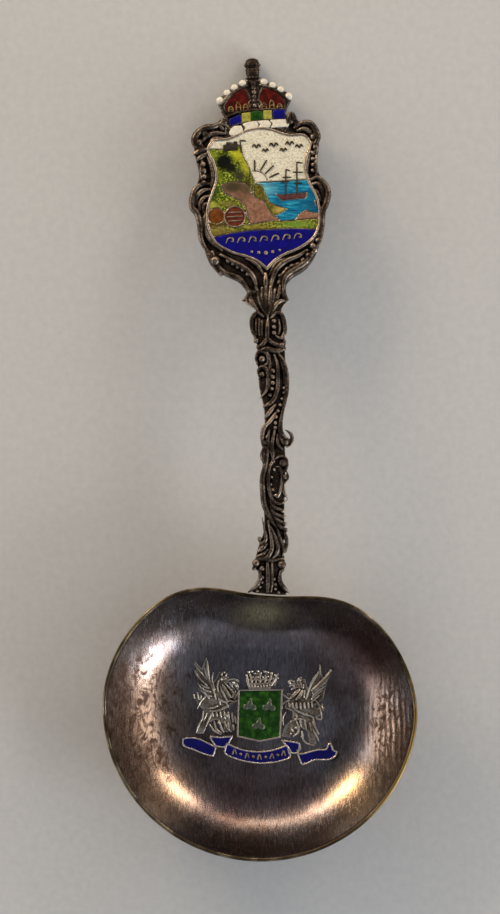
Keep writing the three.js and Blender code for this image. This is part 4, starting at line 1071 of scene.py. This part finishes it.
lemon_glass = enamel("lemon_enamel", [(0.3, "#7d7b2c"), (0.6, "#a9a84e")], 0.5)
leaf_glass = enamel("emerald_enamel", [(0.3, "#0c2a06"), (0.5, "#1a470d"), (0.72, "#3f7a1c")], 0.9,
                    ground=0.25)

for part, glass, slot in [
    ("sky", opaque_cream, "enamel_cream"), ("sun", opaque_white, "enamel_white"),
    ("water", sea_glass, "enamel_turquoise"), ("cliff", meadow, "enamel_grass"),
    ("headland", headland_glass, "enamel_grass"), ("shore", shore_glass, "enamel_grass"),
    ("path", earth_glass, "enamel_mauve"), ("islet", earth_glass, "enamel_mauve"),
    ("roundel_left", amber_glass, "enamel_amber"), ("roundel_right", brick_glass, "enamel_brick"),
    ("base", deep_blue, "enamel_blue"), ("ship_hull", hull_glass, "enamel_grey"),
    ("cap_left", ruby_glass, "enamel_red"), ("cap_right", ruby_glass, "enamel_red"),
]:
    fired(f"fired_{part}", f"enamel_{part}", glass, slot)

# A strip of bank shows under the two roundels.
BANK = [(-8.5, -3.5), (-7.6, -3.9), (-6.4, -3.9), (-5.9, -3.6), (-5.4, -4.3), (-4.6, -4.6), (-4.4, -4.95),
        (-8.6, -5.15)]
finish(fire(slab(BANK, on_finial, 0.4, 0.74), FINIAL, 0.755), "fired_bank", bank_glass, "enamel_grass")

# Fine dark lines laid over the sky: sun rays, rigging, a flagpole and gulls.
SKY_LINES = [
    # sun rays
    ([(-0.8, 5.3), (-0.9, 3.6)], 0.13, 0.8, 0.8),
    ([(1.0, 5.2), (-0.1, 3.6)], 0.13, 0.8, 0.8),
    ([(2.0, 4.3), (0.6, 3.1)], 0.13, 0.8, 0.8),
    ([(2.7, 3.1), (1.2, 2.5)], 0.13, 0.8, 0.8),
    # two masts with their yards and pennants
    ([(3.8, 3.6), (3.5, -0.4)], 0.12, 0.8, 1.0),
    ([(3.2, 2.4), (4.5, 2.35)], 0.1, 0.8, 0.8),
    ([(3.8, 3.6), (4.4, 3.3)], 0.1, 0.8, 0.5),
    ([(2.9, 1.75), (4.2, 1.75)], 0.12, 0.8, 0.8),
    ([(5.5, 4.6), (5.2, -0.4)], 0.12, 0.8, 1.0),
    ([(4.8, 3.1), (6.3, 3.0)], 0.1, 0.8, 0.8),
    ([(4.9, 1.4), (6.1, 1.3)], 0.1, 0.8, 0.8),
    ([(5.5, 4.6), (6.4, 4.4)], 0.1, 0.8, 0.5),
    # flagpole
    ([(-2.75, 6.6), (-2.8, 8.5)], 0.11, 0.8, 0.8),
    ([(-2.8, 8.5), (-1.9, 8.35)], 0.11, 0.8, 0.6),
]
# Fine bright lines laid over the lower shield: bands across the right roundel, then scrolls.
SHIELD_LINES = [
    ([(-5.3, -2.55), (-3.3, -2.55)], 0.12, 0.8, 0.8),
    ([(-5.5, -3.2), (-3.1, -3.2)], 0.12, 0.8, 0.8),
    ([(-5.3, -3.85), (-3.3, -3.85)], 0.12, 0.8, 0.8),
]
GULLS = [(-0.4, 7.3, 0.66), (0.9, 6.6, 0.5), (2.2, 7.3, 0.72), (3.6, 6.5, 0.55), (4.6, 7.4, 0.66),
         (6.0, 6.9, 0.6)]
for x, y, reach in GULLS:
    SKY_LINES.append(([(x - reach, y), (x - 0.5 * reach, y + 0.6 * reach), (x, y - 0.1)], 0.14, 0.4, 1.0))
    SKY_LINES.append(([(x, y - 0.1), (x + 0.5 * reach, y + 0.6 * reach), (x + reach, y)], 0.14, 1.0, 0.4))
# A running scroll along the base, with a row of pellets under it.
for i in range(7):
    x = -5.1 + 1.7 * i
    y = -6.95 + 0.012 * (i - 3) ** 2
    SHIELD_LINES.append(([(x - 0.8, y - 0.35), (x - 0.35, y + 0.4), (x + 0.25, y + 0.3), (x + 0.3, y - 0.15),
                          (x - 0.02, y - 0.1)], 0.12, 0.5, 0.5))
BASE_PELLETS = [(-2.1, -8.75, 0.2), (-1.05, -8.95, 0.26), (0, -9.05, 0.32), (1.05, -8.95, 0.26),
                (2.1, -8.75, 0.2)]
ROUNDEL_RING = [(-4.3 + 1.58 * math.cos(a), -3.2 + 1.58 * math.sin(a))
                for a in np.linspace(0, 2 * math.pi, 40, endpoint=False)]
work = join(strand_tubes(SHIELD_LINES, on_finial, WIRE_LEVEL),
            closed_tube(ROUNDEL_RING, 0.12, on_finial, WIRE_LEVEL),
            bead_mesh(BASE_PELLETS, on_finial, PELLET_LEVEL))
bpy.ops.object.shade_smooth()
finish(work, "shield_line_work", lines, "silver_trim")
sky_work = strand_tubes(SKY_LINES, on_finial, WIRE_LEVEL)
bpy.ops.object.shade_smooth()
finish(sky_work, "sky_line_work", dark_lines, "silver_trim")

CASTLE = [(-5.4, 7.0), (-5.4, 7.95), (-4.9, 7.95), (-4.9, 8.35), (-4.3, 8.35), (-4.3, 8.0), (-3.8, 8.0),
          (-3.8, 8.4), (-3.25, 8.4), (-3.2, 7.0)]
finish(slab(CASTLE, on_finial, 0.5, 0.87), "castle_silhouette", castle_glass, "enamel_grey")

# ---- crown --------------------------------------------------------------------------------------------

CROWN_STRANDS = [
    # the two arches under the pearls
    ([(-5.35, 14.2), (-4.6, 15.1), (-3.4, 16.0), (-2.2, 16.6), (-1.2, 16.9)], 0.2, 0.8, 0.8),
    ([(4.8, 14.2), (4.1, 15.1), (2.9, 16.0), (1.7, 16.6), (0.7, 16.9)], 0.2, 0.8, 0.8),
    # rims of the band
    ([(-4.7, 12.3), (-2.6, 12.9), (-0.27, 13.05), (2.1, 13.05), (4.3, 12.95)], 0.15, 1, 1),
    ([(-4.8, 10.4), (-2.5, 11.2), (-0.27, 11.4), (2.1, 11.4), (4.2, 11.35)], 0.09, 1, 1),
    # curls at the foot of the middle arch
    ([(-0.9, 13.4), (-1.2, 14.0), (-0.8, 14.5), (-0.5, 14.1)], 0.15, 0.6, 0.6),
    ([(0.4, 13.4), (0.7, 14.0), (0.3, 14.5), (0, 14.1)], 0.15, 0.6, 0.6),
    # curls on the crown's two sides
    ([(4.6, 10.6), (4.7, 11.5), (5.1, 12.1), (5.5, 11.7), (5.4, 11.1)], 0.4, 0.8, 0.6),
    ([(-5.3, 13.2), (-4.9, 12.5), (-4.6, 11.6)], 0.22, 0.8, 0.8),
    ([(-4.7, 11.3), (-5.2, 11.6), (-5.6, 11.0), (-5.2, 10.3)], 0.3, 0.8, 0.8),
]
CROWN_FLEURS = [(-3.9, 0.75), (-2.75, 1.25), (-1.65, 0.85), (1.15, 0.85), (2.3, 1.25), (3.45, 0.75)]
CROWN_LINES = []
for x, tall in CROWN_FLEURS:
    foot = 13.2 - 0.012 * (x + 0.27) ** 2
    CROWN_LINES.append(([(x - 0.32, foot), (x - 0.3, foot + 0.6 * tall), (x, foot + tall),
                         (x + 0.3, foot + 0.6 * tall), (x + 0.32, foot)], 0.1, 0.9, 0.9))
    CROWN_LINES.append(([(x - 0.42, foot + 0.3 * tall), (x, foot + 0.42 * tall),
                         (x + 0.42, foot + 0.3 * tall)], 0.09, 0.7, 0.7))
ARCH_BEADS = [(CROWN_LEAN, y, radius) for y, radius in [
    (13.75, 0.36), (14.45, 0.33), (15.1, 0.36), (15.8, 0.38), (16.5, 0.4), (17.15, 0.45)]]
cast("crown_casting", worked(copy_of("crown_frame"), CROWN_STRANDS, ARCH_BEADS, on_finial, CROWN_RELIEF,
                             ARCH_BEAD_LEVEL), CROWN_GRAIN, dark_cast, "silver_trim", "crown_frame", soften=2)
fleurs = strand_tubes(CROWN_LINES, on_finial, GILT_LEVEL)
bpy.ops.object.shade_smooth()
finish(fleurs, "crown_fleurs", gilt_lines, "silver_trim")
# The band's five stones and, under it, four pillows of white fur that point right: each its own enamel.
CROWN_CELLS = {
    "band_blue_left": (deep_blue, [(-4.05, 10.85), (-2.4, 11.3), (-2.5, 12.5), (-4.25, 11.85)]),
    "band_yellow_left": (lemon_glass, [(-2.3, 11.25), (-1.05, 11.35), (-1, 12.75), (-2.3, 12.65)]),
    "band_green": (leaf_glass, [(-0.9, 11.4), (0.8, 11.5), (0.8, 12.85), (-0.85, 12.8)]),
    "band_yellow_right": (lemon_glass, [(0.95, 11.5), (2.15, 11.5), (2.2, 12.85), (0.95, 12.85)]),
    "band_blue_right": (deep_blue, [(2.35, 11.5), (4.1, 11.4), (4.2, 12.8), (2.4, 12.85)]),
}
for part, (glass, outline) in CROWN_CELLS.items():
    cell = fire(slab(outline, on_finial, 0.4, 0.85), FINIAL, 0.9)
    finish(cell, f"fired_{part}", glass, f"enamel_{part.split('_')[1]}", f"enamel_{part}")
FUR_CELLS = [
    [(-4.4, 9.6), (-4.05, 10.4), (-3.45, 10.75), (-2.5, 10.75), (-2.3, 10.2), (-2.4, 9.65), (-3.15, 9.35),
     (-4.05, 9.3)],
    [(-2.3, 11), (-1.2, 11.25), (-0.2, 11.3), (0.1, 10.75), (-0.2, 10.15), (-1.35, 10), (-2.3, 9.75),
     (-1.8, 10.4)],
    [(-0.05, 11.3), (1.6, 11.35), (2, 10.75), (1.65, 10.2), (-0.05, 10.2), (0.45, 10.75)],
    [(1.85, 11.35), (3.15, 11.35), (4.25, 11.3), (4.7, 10.6), (4.5, 10.15), (3.15, 10.2), (1.9, 10.15),
     (2.35, 10.75)],
]
for i, outline in enumerate(FUR_CELLS, 1):
    pillow = fire(slab(outline, on_finial, 0.4, 0.85), FINIAL, 0.9)
    finish(pillow, f"fired_fur_{i}", opaque_white, "enamel_white", f"enamel_ermine_{i}")

for side, turned in (("left", -1), ("right", 1)):
    for i, (x, y) in enumerate(PEARL_PLACES, 1):
        pearl = [(CROWN_LEAN + turned * x, y, 0.93 * PEARL_RADIUS)]
        pearl = bead_mesh(pearl, on_finial, PEARL_HEIGHT, detail=4)
        bpy.ops.object.shade_smooth()
        finish(pearl, f"white_pearl_{side}_{i}", opaque_white, "enamel_white", f"pearl_{side}_{i}")

KNOP_PROFILE = [(0, 17.4), (0.75, 17.45), (0.82, 17.8), (0.97, 18.1), (0.86, 18.3), (0.98, 18.6),
                (1.06, 19.0), (1.0, 19.4), (0.92, 19.6), (1.1, 19.85), (1.14, 20.15), (1.06, 20.5),
                (0.82, 20.95), (0.5, 21.15), (0, 21.2)]
KNOP_FLATNESS, KNOP_RISE = 0.62, 0.13


def make_knop():
    """The turned orb on top of the crown, spun from its profile and a little flattened."""
    half = bmesh.new()
    points = [half.verts.new(Vector((CROWN_LEAN + r, y, 0)) * MM) for r, y in KNOP_PROFILE]
    for one, other in zip(points, points[1:]):
        half.edges.new((one, other))
    piece = piece_of(half, "knop")
    bpy.ops.object.mode_set(mode="EDIT")
    bpy.ops.mesh.select_all(action="SELECT")
    bpy.ops.mesh.spin(steps=40, angle=2 * math.pi, center=Vector((CROWN_LEAN, 0, 0)) * MM, axis=(0, 1, 0))
    bpy.ops.mesh.select_all(action="SELECT")
    bpy.ops.mesh.remove_doubles(threshold=0.01 * MM)
    bpy.ops.mesh.normals_make_consistent(inside=False)
    bpy.ops.object.mode_set(mode="OBJECT")
    return reshape(piece, lambda place: FINIAL @ Vector((place.x, place.y,
                                                         place.z * KNOP_FLATNESS + KNOP_RISE * MM)))


knop_beads = []
for y, across, count, radius in [(18.15, 0.97, 12, 0.17), (19.4, 1.0, 12, 0.13), (20.15, 1.12, 12, 0.18),
                                 (20.85, 0.8, 8, 0.13)]:
    for i in range(count):
        turn = 2 * math.pi * i / count
        height = KNOP_RISE + KNOP_FLATNESS * across * math.sin(turn)
        knop_beads.append((on_finial(CROWN_LEAN + across * math.cos(turn), y, height), radius))
cast("crown_orb", [make_knop(), balls(knop_beads)], KNOP_GRAIN, dark_cast, "cast_silver", "crown_knop",
     soften=1)

# ---- badge in the bowl --------------------------------------------------------------------------------

cast("badge_shield_casting", [copy_of("badge_shield")], BADGE_GRAIN, bright_cast, "silver_trim",
     "badge_shield", soften=2)
fired("badge_green_field", "badge_enamel_green", leaf_glass, "enamel_green", BOWL, BADGE_GLASS)
TREFOIL_LEAVES = [(-0.55, -0.2, 0.5), (0.55, -0.2, 0.5), (0, 0.3, 0.48), (0, -0.1, 0.42)]
trefoils = []
trefoil_stalks = []
for x, y in [(-1.75, 1.85), (1.15, 2.0), (-0.2, -0.95)]:
    trefoils += [(x + dx, y + dy, radius) for dx, dy, radius in TREFOIL_LEAVES]
    trefoil_stalks.append(([(x, y), (x + 0.1, y + 1.2)], 0.26, 1.0, 0.6))


def flattened(place):
    """Squashes the trefoils to less than half their height."""
    level = TREFOIL_LEVEL * MM
    return Vector((place.x, place.y, level + (place.z - level) * 0.45))


charges = join(bead_mesh(trefoils, on_bowl, TREFOIL_LEVEL),
               strand_tubes(trefoil_stalks, on_bowl, TREFOIL_LEVEL))
cast("badge_trefoils", [reshape(charges, flattened)], TREFOIL_GRAIN, charge_cast, "silver_trim", soften=2)

CORONET_STRANDS = [
    ([(-1.7, 4.7), (-0.05, 4.65), (1.6, 4.7)], 0.2, 1, 1),
    ([(-1.6, 5.3), (-0.05, 5.3), (1.7, 5.45)], 0.16, 1, 1),
    ([(-1.7, 4.85), (-1.95, 5.9), (-2, 6.65)], 0.2, 1, 0.7),
    ([(1.6, 5), (2.05, 5.75), (2.5, 6.5)], 0.2, 1, 0.7),
    ([(-1.25, 5.45), (-1.4, 6.35), (-1.7, 7.1)], 0.17, 1, 0.6),
    ([(-0.65, 5.45), (-0.7, 6.5)], 0.17, 1, 0.6),
    ([(-0.05, 5.45), (-0.05, 6.8)], 0.17, 1, 0.6),
    ([(0.7, 5.45), (0.85, 6.5)], 0.17, 1, 0.6),
    ([(1.3, 5.45), (1.6, 6.35), (1.75, 6.95)], 0.17, 1, 0.6),
    ([(-1.95, 6.05), (-1.25, 5.85), (-0.65, 6.05), (-0.05, 5.85), (0.55, 6.05), (1.15, 5.9), (2.05, 6.2)],
     0.15, 0.8, 0.8),
]
CORONET_BEADS = [(-2.1, 6.65, 0.24), (-1.75, 7.15, 0.26), (-1.25, 7.2, 0.24), (-0.8, 6.9, 0.2),
                 (-0.35, 7.25, 0.24), (0.1, 6.95, 0.2), (0.65, 7.2, 0.26), (1.15, 7.1, 0.24),
                 (1.7, 6.95, 0.26), (2.3, 6.65, 0.26), (2.65, 6.2, 0.22), (-1.1, 6.35, 0.17),
                 (-0.35, 6.35, 0.17), (0.4, 6.35, 0.17), (1.15, 6.45, 0.17), (-1.25, 5, 0.17),
                 (-0.8, 5, 0.17), (-0.35, 4.95, 0.17), (0.1, 4.95, 0.17), (0.55, 5, 0.17), (1, 5, 0.17),
                 (1.45, 5.1, 0.17)]
backing = reshape(copy_of("badge_coronet"), lowered(CORONET_GROUND, BOWL))
cast("badge_coronet_casting", worked(backing, CORONET_STRANDS, CORONET_BEADS, on_floor, CORONET_RELIEF,
                                     CORONET_BEAD_LEVEL),
     BADGE_GRAIN, bright_cast, "silver_trim", "badge_coronet", soften=1)

# The beasts take the lighter silver with its painted sheen.
for side, strands, beads in [("left", LEFT_BEAST_STRANDS, LEFT_BEAST_BEADS),
                             ("right", RIGHT_BEAST_STRANDS, RIGHT_BEAST_BEADS)]:
    backing = reshape(copy_of(f"griffin_{side}"), lowered(BEAST_GROUND, BOWL))
    cast(f"winged_beast_{side}", worked(backing, strands, beads, on_floor, BEAST_RELIEF, BEAST_BEAD_LEVEL),
         BADGE_GRAIN, beast_cast_with_painted_sheen, "silver_trim", f"griffin_{side}", soften=1)

RIBBON_PARTS = {
    "tail_left": [(-11.65, -2.95), (-10.55, -2.8), (-9.35, -2.95), (-8.3, -3.4), (-6.95, -4.1),
                  (-6.75, -4.3), (-7.05, -5.35), (-7.25, -5.5), (-8, -5.35), (-8.9, -5.05), (-9.95, -4.6),
                  (-11, -4.25), (-11.65, -3.85)],
    "fold_left": [(-7.5, -2.6), (-6.05, -2.75), (-4.5, -2.6), (-4.35, -2.75), (-4.9, -3.75), (-5.45, -4.2),
                  (-6.5, -4.05), (-6.85, -3.85), (-7.5, -2.85)],
    "middle": [(-5, -3.65), (-4.1, -4.1), (-2.9, -4.55), (-1.4, -4.85), (0.25, -4.9), (1.75, -4.7),
               (3.1, -4.3), (4, -4), (4.3, -4.9), (4.45, -5.75), (3.1, -6.25), (1.45, -6.55), (-0.35, -6.6),
               (-2.15, -6.35), (-3.8, -5.9), (-5.25, -5.2), (-5.25, -4.45)],
    "fold_right": [(3.3, -3.15), (4.6, -3.4), (5.8, -3.65), (5.85, -4.3), (5.6, -5), (4.75, -5.05),
                   (4.3, -4.35), (3.75, -3.8)],
    "tail_right": [(5.65, -5.2), (6.55, -5.2), (7.65, -4.85), (8.85, -4.6), (9.9, -4.55), (10.2, -3.95),
                   (10.5, -3.65), (10.8, -4.15), (11, -4.7), (11.55, -4.9), (11.15, -5.65), (10.35, -6.05),
                   (9.3, -6.1), (8.25, -6.1), (7.15, -6.55), (6.35, -6.8), (5.95, -6.05)],
}
RIBBON_CURL = [([(5.8, -3.9), (6.1, -4.4), (5.7, -4.8), (5.4, -4.4)], 0.13, 0.8, 0.8)]
ribbon_shells = [strand_tubes(RIBBON_CURL, on_floor, RIBBON_EDGE_LEVEL)]
for part, outline in RIBBON_PARTS.items():
    outline = smooth_line(outline + outline[:1], 4)[:-1]
    ribbon_shells += [slab(outline, on_floor, 1.0, 1.75),
                      closed_tube(outline, 0.14, on_floor, RIBBON_EDGE_LEVEL, sides=2)]
    fold = fire(slab(outline, on_floor, 1.3, 1.9), BOWL, BADGE_GLASS, grow=0.01)
    finish(fold, f"ribbon_blue_{part}", ribbon_blue, "enamel_blue", f"ribbon_enamel_{part}")
cast("ribbon_casting", ribbon_shells, RIBBON_GRAIN, bright_cast, "silver_trim", "ribbon", soften=1)
# Chevrons and pellets stand where a motto would.
RIBBON_PLACES = [(-3.9, -4.9), (-2.95, -5.25), (-2.0, -5.5), (-1.05, -5.65), (-0.15, -5.7), (0.8, -5.7),
                 (1.75, -5.6), (2.65, -5.4), (3.5, -5.15)]
RIBBON_MARKS = [([(x - 0.3, y - 0.36), (x, y + 0.36), (x + 0.3, y - 0.36)], 0.11, 0.9, 0.9)
                for x, y in RIBBON_PLACES[::2]]
RIBBON_PELLETS = [(x, y, 0.25) for x, y in RIBBON_PLACES[1::2]]
marks = join(strand_tubes(RIBBON_MARKS, on_floor, RIBBON_MARK_LEVEL),
             bead_mesh(RIBBON_PELLETS, on_floor, RIBBON_PELLET_LEVEL))
bpy.ops.object.shade_smooth()
finish(marks, "ribbon_ornament", lines, "silver_trim")

# ---- studio -------------------------------------------------------------------------------------------


def make_floor():
    """A sheet of pale matt paper. It gives the eye an even ground with the faintest fibre."""
    bpy.ops.mesh.primitive_plane_add(size=3.0, location=(0, 0, 0))
    floor = bpy.context.object
    floor.name = "studio_floor"
    material, tree, shader = new_finish("pale_matt_paper")
    here = millimetres(tree)
    fibre = add(tree, "ShaderNodeTexNoise", {}, {0: here, "Scale": 0.9, "Detail": 4.0})
    tone = add(tree, "ShaderNodeValToRGB", {"stops": [(0.3, "#bcc1c6"), (0.7, "#c4c8cc")]},
               {0: fibre.outputs[0]})
    plug(tree, shader, {"Base Color": tone.outputs[0], "Roughness": 0.9})
    floor.data.materials.append(material)


def softbox(name, azimuth, elevation, distance, width, height, colour, watts):
    """A soft panel that faces the bowl. Azimuth is from +X toward +Y, in degrees."""
    turn, lift = math.radians(azimuth), math.radians(elevation)
    aim = Vector((0, 0, 0.005))   # just over the bowl's floor
    toward = Vector((math.cos(turn) * math.cos(lift), math.sin(turn) * math.cos(lift), math.sin(lift)))
    bpy.ops.object.light_add(type="AREA", location=aim + toward * distance)
    lamp = bpy.context.object
    lamp.name = name
    lamp.rotation_euler = toward.to_track_quat("Z", "Y").to_euler()
    lamp.data.shape = "RECTANGLE"
    lamp.data.size, lamp.data.size_y = width, height
    lamp.data.color = linear(colour)[:3]
    lamp.data.energy = watts


deselect()
make_floor()
softbox("white_key", -33, 16, 0.7, 0.3, 0.22, "#fffefa", 2.7)
softbox("warm_upper_left", 130, 19, 0.7, 0.34, 0.12, "#ffe0b6", 2.4)
softbox("warm_top_strip", 92, 18, 0.7, 0.62, 0.06, "#ffdcb2", 1.3)
softbox("warm_upper_right", 46, 19, 0.7, 0.26, 0.12, "#ffe9d2", 1.1)
softbox("right_panel", 2, 26, 0.9, 0.6, 0.42, "#fff4e8", 1.5)
softbox("left_panel", 180, 15, 0.9, 0.8, 0.34, "#fff1e4", 2.6)
softbox("front_panel", -95, 52, 0.9, 1.4, 1.3, "#f6f8ff", 0.8)

world = bpy.data.worlds.new("studio")
bpy.context.scene.world = world
world.use_nodes = True
background = world.node_tree.nodes["Background"]
background.inputs["Color"].default_value = linear("#f4f4f6")
# A studio's walls are lighter than its ceiling: the light falls off toward straight up.
direction = add(world.node_tree, "ShaderNodeTexCoord", {}, {})
parts = add(world.node_tree, "ShaderNodeSeparateXYZ", {}, {0: direction.outputs["Generated"]})
fall = add(world.node_tree, "ShaderNodeMapRange", {},
           {"Value": parts.outputs["Z"], 1: 0.0, 2: 1.0, 3: 0.5, 4: 0.16})
world.node_tree.links.new(fall.outputs[0], background.inputs["Strength"])

camera_data = bpy.data.cameras.new("camera")
camera = bpy.data.objects.new("camera", camera_data)
bpy.context.scene.collection.objects.link(camera)
CAMERA_DISTANCE = 2.0       # over the object's middle height, which is 8 mm
FRAME_HEIGHT = 0.1371       # what the frame spans there
camera_data.lens = camera_data.sensor_width * CAMERA_DISTANCE / FRAME_HEIGHT
camera.location = (-1.55 * MM, 39.45 * MM, CAMERA_DISTANCE + 0.008)
bpy.context.scene.camera = camera
bpy.context.scene.view_settings.view_transform = "Standard"
